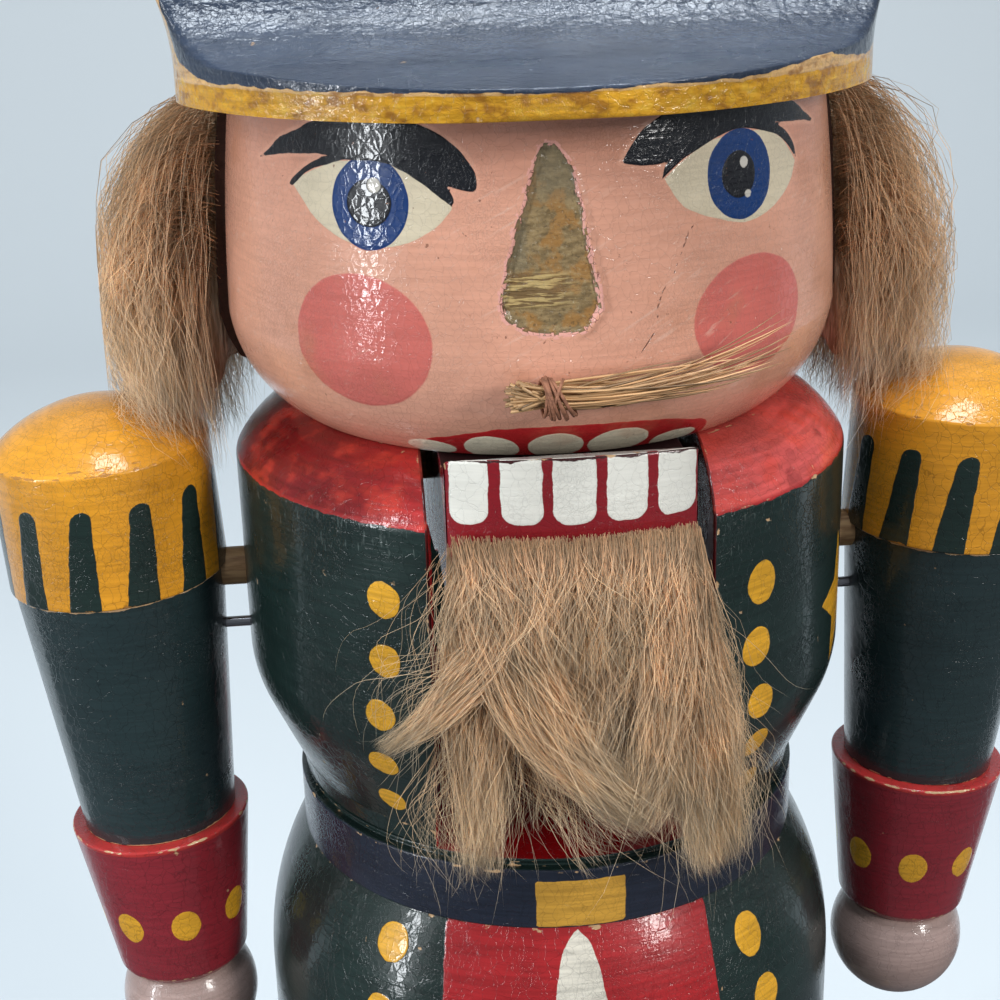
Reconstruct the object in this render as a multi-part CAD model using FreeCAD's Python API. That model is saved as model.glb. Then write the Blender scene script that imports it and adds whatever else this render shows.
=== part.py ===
"""A turned wooden nutcracker soldier: a figure whose lower jaw is the front end of a lever through its body.

Millimetres, +Z up. The origin is the centre of the base's underside, and the figure faces -Y.
Left and right are the figure's own, so its left side is +X.
Heights inside the figure are measured from the shoulder line, the sharp edge round the top of the chest.
"""
import FreeCAD, Part
import math
import os

from FreeCAD import Vector

# Base and legs
base_radius = 50.0
base_height = 14.0
base_edge_round = 4.0
boot_radius = 12.8
boot_height = 42.0
boot_rim_height = 5.0
boot_rim_lip = 1.1           # how far the boot's rim stands out
leg_gap = 5.2                # between the two boots' rims
trouser_radius = 13.4
trouser_height = 42.0
trouser_waist = 1.4          # how much the trouser leg narrows above the boot
trouser_bulge = 0.35
leg_dowel_radius = 4.0
leg_dowel_depth = 9.0        # depth in the base and in the body
shoe_length = 27.0           # in front of the boot's axis
shoe_width = 24.0
shoe_height = 15.0
shoe_toe_height = 8.0
shoe_instep_bulge = 1.0

# Body, one turned block
chest_radius = 39.0
chest_height = 26.0          # straight part below the shoulder line
chest_turn = 6.0             # rounded part where the chest turns in
chest_turn_in = 1.4
chest_turn_bulge = 0.3
waist_height = 44.6          # depth of the belt's upper groove below the shoulder line
waist_radius = 32.9
cove_height = 3.1
cove_out = 0.5
groove_height = 0.7
groove_depth = 0.5
belt_height = 8.2
belt_radius = 33.6
hip_radius = 39.5
hip_rise = 21.5              # from the belt's lower edge to the widest part
hip_height = 18.0            # straight part of the skirt
hip_step = 0.3               # the belt stands out this far over the top of the hips
skirt_edge = 2.0
shoulder_height = 6.5        # from the shoulder line to the neck
neck_radius = 30.5
shoulder_bulge = 1.1

# Slot through the body and the lever in it
slot_width = 32.0
slot_depth = 44.1            # below the shoulder line
slot_shift = -0.6            # the slot is sawn this far off the middle
jaw_width = 28.0
jaw_top = 9.1                # the lip of the jaw, above the shoulder line
jaw_drop = 10.0              # underside of the jaw, below the shoulder line
jaw_length = 15.0            # depth of the jaw block from front to back
lip_depth = 8.0              # sloping part of the jaw's upper side
lip_edge_depth = 2.5         # its flatter front strip
lip_edge_drop = 0.4          # how far that strip falls to the back
mouth_gap = 0.3              # jaw to head when the mouth is shut
pivot_back = 6.0
pivot_drop = 6.0
pin_radius = 2.0
pin_inset = 0.5
pin_running_gap = 0.08
lever_arm_over = 8.5         # wood over the pivot
lever_arm_under = 9.5        # wood under the pivot
tail_gap = 0.5               # tail to the hips
tail_thickness = 8.5
tail_tip_thickness = 6.0
tail_top = 8.0               # upper side where the tail turns down, below the shoulder line
tail_root_depth = 15.5       # height of the board there
tail_bend_radius = 12.0
tail_reach = 91.0            # tip of the tail, below the shoulder line
tail_tip_width = 36.0
tail_flare_start = 50.0      # below the shoulder line

# Head
head_radius = 37.6
head_bottom_radius = 30.0
head_top_radius = 35.6
head_height = 39.0
head_roll_height = 12.0      # rounded lower edge
head_roll_bulge = 1.7
head_barrel_bulge = 0.4
head_shift = -0.8            # the head is glued this far off the body's axis
neck_dowel_radius = 3.0
neck_dowel_spread = 23.0
neck_dowel_front = 4.0
neck_dowel_length = 26.0
neck_dowel_in_head = 12.0
nose_seat_depth = 0.4
nose_seat_bottom = 15.8      # above the neck
nose_seat_height = 19.6
nose_seat_width = 10.3
nose_seat_top_width = 1.4
nose_seat_shift = -1.6       # from the head's own middle

# Hat
hat_shift = -2.2             # the hat is glued this far off the body's axis
brim_thickness = 3.2
brim_half_width = 39.2
brim_reach = 43.8            # from the head's axis to the brim's front edge
brim_arc_radius = 43.0
brim_corner_round = 4.0
brim_rise = 1.2              # slope of the brim's upper side
brim_depth = 14.0            # front edge to the foot of the cove
cove_reach = 13.0            # foot of the cove to the crown's face
cove_rise = 12.0
crown_height = 48.0
crown_half_width = 54.0
crown_tip_height = 25.0
crown_tip_face = 4.0
crown_top_thickness = 20.0
hat_dowel_radius = 4.0
hat_dowel_length = 22.0

# Fur and straw
hair_gap = 0.3
hair_thickness = 12.0
hair_top_thickness = 3.5
hair_length = 41.5
hair_nape_length = 36.5      # shorter at the back, over the lever
hair_lever_gap = 3.0         # to each side of the lever
hair_start_angle = 86.0      # from the front, to each side
hair_fall = 1.2              # gap under the brim
beard_gap = 0.3
beard_thickness = 6.5
beard_edge_thickness = 3.0
beard_length = 41.0
beard_top_width = 28.0
beard_bottom_width = 35.0
moustache_height = 9.8       # of its knot, above the neck
moustache_side = -2.1        # of its knot, from the head's middle
moustache_length = 24.0
moustache_lift = 3.9         # how far its end stands above the knot
moustache_sweep = 1.0        # how far its end lies behind the knot
moustache_stub = 5.0         # the broken half
moustache_radius = 1.6
moustache_end_radius = 2.4
moustache_gap = 0.3
knot_radius = 2.35
knot_width = 2.7

# Arms
arm_tilt = 3.2               # degrees, hands nearer to the body
arm_gap = 2.3                # chest to epaulette
hand_gap = 2.5               # at least this much between hips and hand
arm_drop = 16.0              # epaulette's lower edge below the shoulder line
epaulette_radius = 14.0
epaulette_height = 18.0
epaulette_dome = 5.5
epaulette_ridge = 0.6
sleeve_radius = 13.5
sleeve_wrist_radius = 10.2
sleeve_length = 35.5
cuff_radius = 12.0
cuff_wrist_radius = 8.9
cuff_height = 23.5
cuff_edge_round = 1.2
hand_radius = 9.4
hand_sink = 3.6              # how much of the ball is cut off under the cuff
arm_peg_radius = 4.0
arm_peg_depth = 7.0
arm_dowel_radius = 2.5
arm_dowel_drop = 16.5        # below the shoulder line
arm_dowel_depth = 8.0        # depth in the body and in the arm
arm_nail_radius = 0.7
arm_nail_depth = 5.0
arm_nail_drop = 24.5         # below the shoulder line
glue_gap = 0.05              # round every dowel and pin that is glued or driven

# Places in the figure
leg_spread = boot_radius + boot_rim_lip + leg_gap / 2
legs_top = base_height + boot_height + trouser_height
belt_bottom = waist_height + groove_height + belt_height
skirt_bottom = belt_bottom + hip_rise + hip_height
shoulder_z = legs_top + skirt_bottom
neck_z = shoulder_z + shoulder_height
hat_z = neck_z + head_height
slot_floor_z = shoulder_z - slot_depth
pivot_z = shoulder_z - pivot_drop
arm_dowel_z = shoulder_z - arm_dowel_drop
arm_nail_z = shoulder_z - arm_nail_drop
hand_drop = sleeve_length + cuff_height + hand_radius - hand_sink
hand_inward = hand_drop * math.sin(math.radians(arm_tilt))
arm_out = max(chest_radius + arm_gap + epaulette_radius, hip_radius + hand_gap + hand_radius + hand_inward)

corner_share = 1 - math.sqrt(0.5)   # how far into its corner the middle of a quarter round lies
far = 300.0                         # longer than any cut needs
touch = 0.01                        # two places nearer than this are one


def wire(start, *steps):
    """A closed wire. A step is a point to draw a line to, or a pair (through, end) to draw an arc."""
    edges = []
    here = start
    for step in steps:
        if isinstance(step, tuple):
            through, end = step
            edges.append(Part.Arc(here, through, end).toShape())
        else:
            end = step
            edges.append(Part.LineSegment(here, end).toShape())
        here = end
    if here.distanceToPoint(start) > 1e-6:
        edges.append(Part.LineSegment(here, start).toShape())
    return Part.Wire(edges)


def rz(radius, height):
    """A point of a turned profile."""
    return Vector(radius, 0, height)


def whole_turn(outline):
    """A solid turned on the Z axis from its half profile."""
    return Part.Face(outline).revolve(Vector(0, 0, 0), Vector(0, 0, 1), 360)


def turned(start, *steps):
    """A solid turned on the Z axis, drawn as a wire is."""
    return whole_turn(wire(start, *steps))


def along_y(outline, reach=far):
    """A front view, drawn in X and Z, cut right through from front to back."""
    return Part.Face(outline).translated(Vector(0, -reach, 0)).extrude(Vector(0, 2 * reach, 0))


def along_x(outline, half_width):
    """A side view, drawn in Y and Z, as thick as a board."""
    return Part.Face(outline).translated(Vector(-half_width, 0, 0)).extrude(Vector(2 * half_width, 0, 0))


def upright(radius, x, y, low, high):
    """A round bar standing from one height to another."""
    return Part.makeCylinder(radius, high - low, Vector(x, y, low), Vector(0, 0, 1))


def crossbar(radius, start_x, end_x, y, z):
    """A round bar lying along X."""
    low = min(start_x, end_x)
    return Part.makeCylinder(radius, abs(end_x - start_x), Vector(low, y, z), Vector(1, 0, 0))


def bow(start, end, bulge):
    """The middle point of an arc between two points, standing out by the bulge on the right of the way."""
    chord = end - start
    across = Vector(chord.z, chord.y, -chord.x)
    across.normalize()
    return (start + end) * 0.5 + across * bulge


def arc_to(start, end, bulge):
    """The step that bows from one point to the next."""
    return (bow(start, end, bulge), end)


def rising_middle(low, high):
    """The middle point of an arc that leaves the lower point straight up and ends in the higher one."""
    across = high.x - low.x
    rise = high.z - low.z
    radius = (across * across + rise * rise) / (2 * abs(across))
    half_turn = math.atan2(abs(across), rise)
    inward = math.copysign(radius * (1 - math.cos(half_turn)), across)
    return Vector(low.x + inward, 0, low.z + radius * math.sin(half_turn))


def dome_step(edge, rise):
    """The step from the edge of a turned profile up to the axis, as part of a sphere."""
    radius = (edge.x * edge.x + rise * rise) / (2 * rise)
    half_turn = math.asin(edge.x / radius) / 2
    top = rz(0, edge.z + rise)
    middle = rz(radius * math.sin(half_turn), top.z - radius * (1 - math.cos(half_turn)))
    return (middle, top)


def quarter_round(start, corner, end):
    """The step from one point to the next round the inside of a corner."""
    middle = (start + end) * 0.5 + (corner - (start + end) * 0.5) * (1 - 2 * corner_share)
    return (middle, end)


def one_solid(shape):
    """The single solid that a cut or a union leaves."""
    clean = shape.removeSplitter()
    if len(clean.Solids) != 1:
        raise ValueError("expected one solid, got %d" % len(clean.Solids))
    return clean.Solids[0]


def base():
    """The round foot that the figure stands on, with a rounded upper edge."""
    body = upright(base_radius, 0, 0, 0, base_height)
    rim = [edge for edge in body.Edges if edge.BoundBox.ZMin > base_height - touch]
    body = body.makeFillet(base_edge_round, rim)
    for side in (-1, 1):
        body = body.cut(leg_dowel(side, glue_gap))
    return one_solid(body)


def leg_dowel(side, gap=0.0):
    """The long dowel that threads base, boot, trouser leg and body together."""
    return upright(
        leg_dowel_radius + gap,
        side * leg_spread,
        0,
        base_height - leg_dowel_depth - gap,
        legs_top + leg_dowel_depth + gap,
    )


def boot(side):
    """A turned boot shaft with a standing rim."""
    top = boot_height
    rim = top - boot_rim_height
    shape = turned(
        rz(0, 0),
        rz(boot_radius, 0),
        rz(boot_radius, rim),
        rz(boot_radius + boot_rim_lip, rim + boot_rim_lip),
        rz(boot_radius + boot_rim_lip, top),
        rz(0, top),
    )
    shape.translate(Vector(side * leg_spread, 0, base_height))
    return one_solid(shape.cut(leg_dowel(side, glue_gap)))


def trouser(side):
    """A turned trouser leg that narrows towards the boot."""
    low = rz(trouser_radius - trouser_waist, 0)
    high = rz(trouser_radius, trouser_height)
    shape = turned(rz(0, 0), low, arc_to(low, high, trouser_bulge), rz(0, trouser_height))
    shape.translate(Vector(side * leg_spread, 0, base_height + boot_height))
    return one_solid(shape.cut(leg_dowel(side, glue_gap)))


def shoe(side):
    """The toe piece glued to the front of a boot, rounded in plan and sloping to the toe."""
    half = shoe_width / 2
    straight = shoe_length - half
    toe_middle = Vector(0, -shoe_length, 0)
    plan = Part.Wire([
        Part.LineSegment(Vector(-half, 0, 0), Vector(-half, -straight, 0)).toShape(),
        Part.Arc(Vector(-half, -straight, 0), toe_middle, Vector(half, -straight, 0)).toShape(),
        Part.LineSegment(Vector(half, -straight, 0), Vector(half, 0, 0)).toShape(),
        Part.LineSegment(Vector(half, 0, 0), Vector(-half, 0, 0)).toShape(),
    ])
    block = Part.Face(plan).extrude(Vector(0, 0, shoe_height))
    instep = Vector(0, -boot_radius, shoe_height)
    toe = Vector(0, -shoe_length, shoe_toe_height)
    side_view = wire(
        Vector(0, 0, 0),
        Vector(0, 0, shoe_height),
        instep,
        ((instep + toe) * 0.5 + Vector(0, 0, shoe_instep_bulge), toe),
        Vector(0, -shoe_length, 0),
    )
    shape = block.common(along_x(side_view, shoe_width))
    shape = one_solid(shape.cut(upright(boot_radius + glue_gap, 0, 0, -far, far)))
    return shape.translated(Vector(side * leg_spread, 0, base_height))


def body_block():
    """The turned block of the body: skirt, hips, belt, waist, chest and shoulders."""
    skirt = rz(hip_radius, shoulder_z - belt_bottom - hip_rise)
    hips = rz(belt_radius - hip_step, shoulder_z - belt_bottom)
    hem = rz(hip_radius - skirt_edge, legs_top)
    hem_end = rz(hip_radius, legs_top + skirt_edge)
    belt_low = shoulder_z - belt_bottom
    belt_high = belt_low + belt_height
    groove_top = belt_high + groove_height
    cove_top = rz(waist_radius + cove_out, groove_top + cove_height)
    turn_low = rz(chest_radius - chest_turn_in, shoulder_z - chest_height - chest_turn)
    turn_high = rz(chest_radius, shoulder_z - chest_height)
    edge = rz(chest_radius, shoulder_z)
    neck = rz(neck_radius, neck_z)
    return turned(
        rz(0, legs_top),
        hem,
        quarter_round(hem, rz(hip_radius, legs_top), hem_end),
        skirt,
        (rising_middle(skirt, hips), hips),
        rz(belt_radius, belt_low),
        rz(belt_radius, belt_high),
        rz(waist_radius - groove_depth, belt_high),
        rz(waist_radius - groove_depth, groove_top),
        rz(waist_radius, groove_top),
        cove_top,
        turn_low,
        arc_to(turn_low, turn_high, chest_turn_bulge),
        edge,
        arc_to(edge, neck, shoulder_bulge),
        rz(0, neck_z),
    )


def body():
    """The body with the through slot for the lever, and the holes for its pin and dowels."""
    shape = body_block()
    slot_corner = Vector(slot_shift - slot_width / 2, -far / 2, slot_floor_z)
    shape = shape.cut(Part.makeBox(slot_width, far, far, slot_corner))
    shape = shape.cut(jaw_pin(glue_gap))
    for side in (-1, 1):
        for hole in (
            leg_dowel(side, glue_gap),
            neck_dowel(side, glue_gap),
            arm_dowel(side, glue_gap),
            arm_nail(side, glue_gap),
        ):
            shape = shape.cut(hole)
    return one_solid(shape)


def jaw_pin(gap=0.0):
    """The dowel through the body's cheeks that the lever turns on."""
    half = math.sqrt(chest_radius ** 2 - pivot_back ** 2) - pin_inset
    return crossbar(pin_radius + gap, -half - gap, half + gap, pivot_back, pivot_z)


def jaw_lever():
    """One board: the jaw block in front, the arm over the pin, and the coat-tail handle behind the body."""
    front = -chest_radius
    lip_z = shoulder_z + jaw_top
    shut_z = neck_z - mouth_gap
    under_z = shoulder_z - jaw_drop
    lip_back = front + lip_depth
    jaw_back = lip_back + jaw_length
    tail_front = hip_radius + tail_gap
    tail_back = tail_front + tail_thickness
    bend_z = shoulder_z - tail_top
    tip_z = shoulder_z - tail_reach
    bend_start = Vector(0, tail_back - tail_bend_radius, bend_z)
    bend_end = Vector(0, tail_back, bend_z - tail_bend_radius)
    side_view = wire(
        Vector(0, front, under_z),
        Vector(0, front, lip_z),
        Vector(0, front + lip_edge_depth, lip_z - lip_edge_drop),
        Vector(0, lip_back, shut_z),
        Vector(0, jaw_back, shut_z),
        Vector(0, pivot_back, pivot_z + lever_arm_over),
        bend_start,
        quarter_round(bend_start, Vector(0, tail_back, bend_z), bend_end),
        Vector(0, tail_front + tail_tip_thickness, tip_z),
        Vector(0, tail_front, tip_z),
        Vector(0, tail_front, bend_z - tail_root_depth),
        Vector(0, pivot_back, pivot_z - lever_arm_under),
        Vector(0, jaw_back, under_z),
    )
    board = along_x(side_view, tail_tip_width / 2)
    half = jaw_width / 2
    tip = tail_tip_width / 2
    flare_z = shoulder_z - tail_flare_start
    front_view = wire(
        Vector(-half, 0, far),
        Vector(half, 0, far),
        Vector(half, 0, flare_z),
        Vector(tip, 0, tip_z),
        Vector(-tip, 0, tip_z),
        Vector(-half, 0, flare_z),
    )
    shape = board.common(along_y(front_view)).translated(Vector(slot_shift, 0, 0))
    round_front = upright(chest_radius, 0, 0, -far, far)
    behind = Part.makeBox(2 * far, far, 2 * far, Vector(-far, 0, -far))
    shape = shape.common(round_front.fuse(behind))
    hole = crossbar(pin_radius + pin_running_gap, -far, far, pivot_back, pivot_z)
    return one_solid(shape.cut(hole))


def head_section():
    """Half the outline of the turned head: a barrel with a wide rounded lower edge."""
    low = rz(head_bottom_radius, 0)
    cheek = rz(head_radius, head_roll_height)
    top = rz(head_top_radius, head_height)
    return wire(
        rz(0, 0),
        low,
        arc_to(low, cheek, head_roll_bulge),
        arc_to(cheek, top, head_barrel_bulge),
        rz(0, head_height),
    )


def head_block():
    """The head as it comes off the lathe, on its place over the neck."""
    shape = whole_turn(head_section())
    return shape.translated(Vector(head_shift, 0, neck_z))


def nose_seat():
    """The shallow wedge-shaped place in the face where the nose was glued."""
    middle = head_shift + nose_seat_shift
    low = neck_z + nose_seat_bottom
    high = low + nose_seat_height
    wide = nose_seat_width / 2
    narrow = nose_seat_top_width / 2
    outline = wire(
        Vector(middle - wide, 0, low + wide / 2),
        (Vector(middle, 0, low), Vector(middle + wide, 0, low + wide / 2)),
        Vector(middle + narrow, 0, high),
        Vector(middle - narrow, 0, high),
    )
    prism = Part.Face(outline).extrude(Vector(0, -far, 0))
    barrel_height = head_height - head_roll_height
    kept = Part.makeCone(
        head_radius - nose_seat_depth,
        head_top_radius - nose_seat_depth,
        barrel_height,
        Vector(head_shift, 0, neck_z + head_roll_height),
        Vector(0, 0, 1),
    )
    return prism.cut(kept)


def head():
    """The head with its nose seat and its dowel holes."""
    shape = head_block().cut(nose_seat())
    for side in (-1, 1):
        shape = shape.cut(neck_dowel(side, glue_gap))
    return one_solid(shape.cut(hat_dowel(glue_gap)))


def neck_dowel(side, gap=0.0):
    """One of the two dowels beside the slot that hold the head on the body."""
    top = neck_z + neck_dowel_in_head
    return upright(
        neck_dowel_radius + gap,
        side * neck_dowel_spread,
        -neck_dowel_front,
        top - neck_dowel_length - gap,
        top + gap,
    )


def hat_dowel(gap=0.0):
    """The dowel between head and hat."""
    half = hat_dowel_length / 2
    return upright(hat_dowel_radius + gap, head_shift, 0, hat_z - half - gap, hat_z + half + gap)


def brim_plan():
    """The brim seen from above: bowed front and back edges, straight ends and rounded corners."""
    half = brim_half_width
    centre = brim_reach - brim_arc_radius
    corner = math.sqrt(brim_arc_radius ** 2 - half ** 2) + centre
    plan = Part.Wire([
        Part.Arc(Vector(-half, -corner, 0), Vector(0, -brim_reach, 0), Vector(half, -corner, 0)).toShape(),
        Part.LineSegment(Vector(half, -corner, 0), Vector(half, corner, 0)).toShape(),
        Part.Arc(Vector(half, corner, 0), Vector(0, brim_reach, 0), Vector(-half, corner, 0)).toShape(),
        Part.LineSegment(Vector(-half, corner, 0), Vector(-half, -corner, 0)).toShape(),
    ])
    block = Part.Face(plan).extrude(Vector(0, 0, crown_height))
    corners = [edge for edge in block.Edges if max(edge.BoundBox.XLength, edge.BoundBox.YLength) < touch]
    return block.makeFillet(brim_corner_round, corners)


def hat():
    """A crosswise hat: a flat brim in front and behind, and an upright crown whose ends sweep out and up."""
    foot = -brim_reach + brim_depth
    face = foot + cove_reach
    top_half = crown_top_thickness / 2
    foot_z = brim_thickness + brim_rise
    face_z = foot_z + cove_rise
    front_foot = Vector(0, foot, foot_z)
    front_face = Vector(0, face, face_z)
    back_foot = Vector(0, -foot, foot_z)
    back_face = Vector(0, -face, face_z)
    side_view = wire(
        Vector(0, -brim_reach, 0),
        Vector(0, -brim_reach, brim_thickness),
        front_foot,
        quarter_round(front_foot, Vector(0, face, foot_z), front_face),
        Vector(0, -top_half, crown_height),
        Vector(0, top_half, crown_height),
        back_face,
        quarter_round(back_face, Vector(0, -face, foot_z), back_foot),
        Vector(0, brim_reach, brim_thickness),
        Vector(0, brim_reach, 0),
    )
    carved = along_x(side_view, crown_half_width)
    tip_high = crown_tip_height + crown_tip_face
    left_low = Vector(brim_half_width, 0, brim_thickness)
    left_tip = Vector(crown_half_width, 0, crown_tip_height)
    right_low = Vector(-brim_half_width, 0, brim_thickness)
    right_tip = Vector(-crown_half_width, 0, crown_tip_height)
    front_view = wire(
        Vector(-brim_half_width, 0, 0),
        Vector(brim_half_width, 0, 0),
        left_low,
        (rising_middle(left_low, left_tip), left_tip),
        Vector(crown_half_width, 0, tip_high),
        (Vector(0, 0, crown_height), Vector(-crown_half_width, 0, tip_high)),
        right_tip,
        (rising_middle(right_low, right_tip), right_low),
    )
    crown_slab = Part.makeBox(2 * far, -2 * face, crown_height, Vector(-far, face, 0))
    shape = carved.common(along_y(front_view)).common(brim_plan().fuse(crown_slab))
    shape.translate(Vector(hat_shift, 0, hat_z))
    return one_solid(shape.cut(hat_dowel(glue_gap)))


def hair():
    """The strip of fur that runs round the back of the head from temple to temple and follows its side."""
    top = head_height - hair_fall
    low = top - hair_length
    taper = (head_top_radius - head_radius) / (head_height - head_roll_height)
    cheek = rz(head_radius + hair_gap, head_roll_height)
    temple = rz(cheek.x + taper * (top - head_roll_height), top)
    inner_low = rz(cheek.x, low)
    fringe = rz(cheek.x + hair_thickness - hair_top_thickness, low)
    fullest = rz(cheek.x + hair_thickness, (low + top) / 2)
    outline = wire(
        inner_low,
        fringe,
        (fullest, rz(temple.x + hair_top_thickness, top)),
        temple,
        (bow(cheek, temple, head_barrel_bulge), cheek),
    )
    sweep = 360 - 2 * hair_start_angle
    shape = Part.Face(outline).revolve(Vector(0, 0, 0), Vector(0, 0, 1), sweep)
    shape.rotate(Vector(0, 0, 0), Vector(0, 0, 1), hair_start_angle - 90)
    shape.translate(Vector(head_shift, 0, neck_z))
    way_half = jaw_width / 2 + hair_lever_gap
    nape_z = neck_z + top - hair_nape_length
    shape = shape.cut(Part.makeBox(2 * way_half, far, nape_z, Vector(slot_shift - way_half, 0, 0)))
    for side in (-1, 1):
        cap_top = epaulette_height + epaulette_dome + hair_gap
        cap = upright(epaulette_radius + hair_gap, 0, 0, 0, cap_top)
        shape = shape.cut(place_arm(cap, side))
    return one_solid(shape)


def beard():
    """The piece of fur glued to the front of the jaw, hanging over the slot."""
    top = shoulder_z
    low = top - beard_length
    inner = chest_radius + beard_gap
    outer = inner + beard_thickness
    thin = inner + beard_edge_thickness
    curtain = turned(
        rz(inner, low),
        rz(thin, low),
        (rz(outer, (low + top) / 2), rz(thin, top)),
        rz(inner, top),
    )
    half_top = beard_top_width / 2
    half_low = beard_bottom_width / 2
    front_view = wire(
        Vector(-half_top, 0, top),
        Vector(half_top, 0, top),
        Vector(half_low, 0, low),
        Vector(-half_low, 0, low),
    )
    panel = Part.Face(front_view).extrude(Vector(0, -far, 0))
    return one_solid(curtain.common(panel.translated(Vector(slot_shift, 0, 0))))


def face_point(side, height, gap):
    """A point in front of the face, this far from its surface."""
    section = head_section()
    level = Part.makeLine(rz(head_bottom_radius, height), rz(2 * head_radius, height))
    radius = section.distToShape(level)[1][0][0].x + gap
    return Vector(head_shift + side, -math.sqrt(radius * radius - side * side), neck_z + height)


def moustache_knot_centre():
    """Where the string holds the straw against the face."""
    return face_point(moustache_side, moustache_height, knot_radius + moustache_gap)


def moustache():
    """The bundle of straw: one long half, and a short stub where the other half has broken off."""
    knot = moustache_knot_centre()
    long_way = Vector(moustache_length, moustache_sweep, moustache_lift)
    short_way = Vector(-moustache_stub, 0, 0)
    straw = Part.makeSphere(moustache_radius, knot)
    for way in (long_way, short_way):
        straw = straw.fuse(Part.makeCone(moustache_radius, moustache_end_radius, way.Length, knot, way))
    return one_solid(straw.cut(string_ring(glue_gap)))


def string_ring(gap=0.0):
    """The string's winding as a plain ring with the straw inside it."""
    knot = moustache_knot_centre()
    start = knot - Vector(knot_width / 2 + gap, 0, 0)
    outer = Part.makeCylinder(knot_radius + gap, knot_width + 2 * gap, start, Vector(1, 0, 0))
    inner = Part.makeCylinder(moustache_radius - gap, knot_width + 2 * gap, start, Vector(1, 0, 0))
    return one_solid(outer.cut(inner))


def place_arm(shape, side):
    """Moves a piece drawn on its own axis to its place in the tilted arm."""
    placed = shape.copy()
    placed.rotate(Vector(0, 0, 0), Vector(0, 1, 0), side * arm_tilt)
    placed.translate(Vector(side * arm_out, 0, shoulder_z - arm_drop))
    return placed


def arm_peg(gap=0.0):
    """The peg that the arm's turned pieces are threaded on, on the arm's own axis."""
    low = -sleeve_length - cuff_height - arm_peg_depth - gap
    return upright(arm_peg_radius + gap, 0, 0, low, arm_peg_depth + gap)


def drill_arm(shape, side):
    """Takes out what the dowel and the nail from the body need."""
    return one_solid(shape.cut(arm_dowel(side, glue_gap)).cut(arm_nail(side, glue_gap)))


def epaulette(side):
    """The turned shoulder cap with its domed top."""
    ridge = rz(epaulette_radius, epaulette_height - epaulette_ridge)
    shelf = rz(epaulette_radius - epaulette_ridge, epaulette_height)
    shape = turned(
        rz(0, 0),
        rz(epaulette_radius, 0),
        ridge,
        shelf,
        dome_step(shelf, epaulette_dome),
    )
    return drill_arm(place_arm(shape.cut(arm_peg(glue_gap)), side), side)


def sleeve(side):
    """The turned sleeve, narrower at the wrist."""
    shape = turned(
        rz(0, -sleeve_length),
        rz(sleeve_wrist_radius, -sleeve_length),
        rz(sleeve_radius, 0),
        rz(0, 0),
    )
    return drill_arm(place_arm(shape.cut(arm_peg(glue_gap)), side), side)


def cuff(side):
    """The turned cuff, wider than the sleeve above it."""
    low = -sleeve_length - cuff_height
    shape = turned(
        rz(0, low),
        rz(cuff_wrist_radius - cuff_edge_round, low),
        rz(cuff_wrist_radius, low + cuff_edge_round),
        rz(cuff_radius, -sleeve_length),
        rz(0, -sleeve_length),
    )
    return one_solid(place_arm(shape.cut(arm_peg(glue_gap)), side))


def hand(side):
    """The hand, a ball with a flat where it meets the cuff."""
    low = -sleeve_length - cuff_height
    ball = Part.makeSphere(hand_radius, Vector(0, 0, low + hand_sink - hand_radius))
    above = upright(2 * hand_radius, 0, 0, low, low + 2 * hand_radius)
    shape = ball.cut(above).cut(arm_peg(glue_gap))
    return one_solid(place_arm(shape, side))


def arm_dowel(side, gap=0.0):
    """The dowel that carries an arm on the body."""
    inner = chest_radius - arm_dowel_depth - gap
    outer = arm_out - epaulette_radius + arm_dowel_depth + gap
    return crossbar(arm_dowel_radius + gap, side * inner, side * outer, 0, arm_dowel_z)


def arm_nail(side, gap=0.0):
    """The wire nail below the dowel that keeps the arm from turning."""
    inner = chest_radius - arm_nail_depth - gap
    outer = arm_out - sleeve_radius + arm_nail_depth + gap
    return crossbar(arm_nail_radius + gap, side * inner, side * outer, 0, arm_nail_z)


def pair(name, maker):
    """The same piece for the figure's left and right side."""
    return {name + "_left": maker(1), name + "_right": maker(-1)}


nodes = {
    "base": base(),
    "body": body(),
    "jaw_pin": jaw_pin(),
    "jaw_lever": jaw_lever(),
    "beard": beard(),
    "head": head(),
    "hair": hair(),
    "moustache": moustache(),
    "moustache_string": string_ring(),
    "hat": hat(),
    "hat_dowel": hat_dowel(),
}
for piece, maker in (
    ("leg_dowel", leg_dowel),
    ("boot", boot),
    ("shoe", shoe),
    ("trouser", trouser),
    ("neck_dowel", neck_dowel),
    ("epaulette", epaulette),
    ("sleeve", sleeve),
    ("cuff", cuff),
    ("hand", hand),
    ("arm_dowel", arm_dowel),
    ("arm_nail", arm_nail),
):
    nodes.update(pair(piece, maker))
for side_name, side in (("left", 1), ("right", -1)):
    nodes["arm_peg_" + side_name] = place_arm(arm_peg(), side)

os.makedirs("parts", exist_ok=True)
for name, shape in nodes.items():
    shape.exportStep("parts/%s.step" % name)
print("%d nodes" % len(nodes))
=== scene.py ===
import math

import bpy
import numpy as np
from mathutils import Matrix


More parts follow.
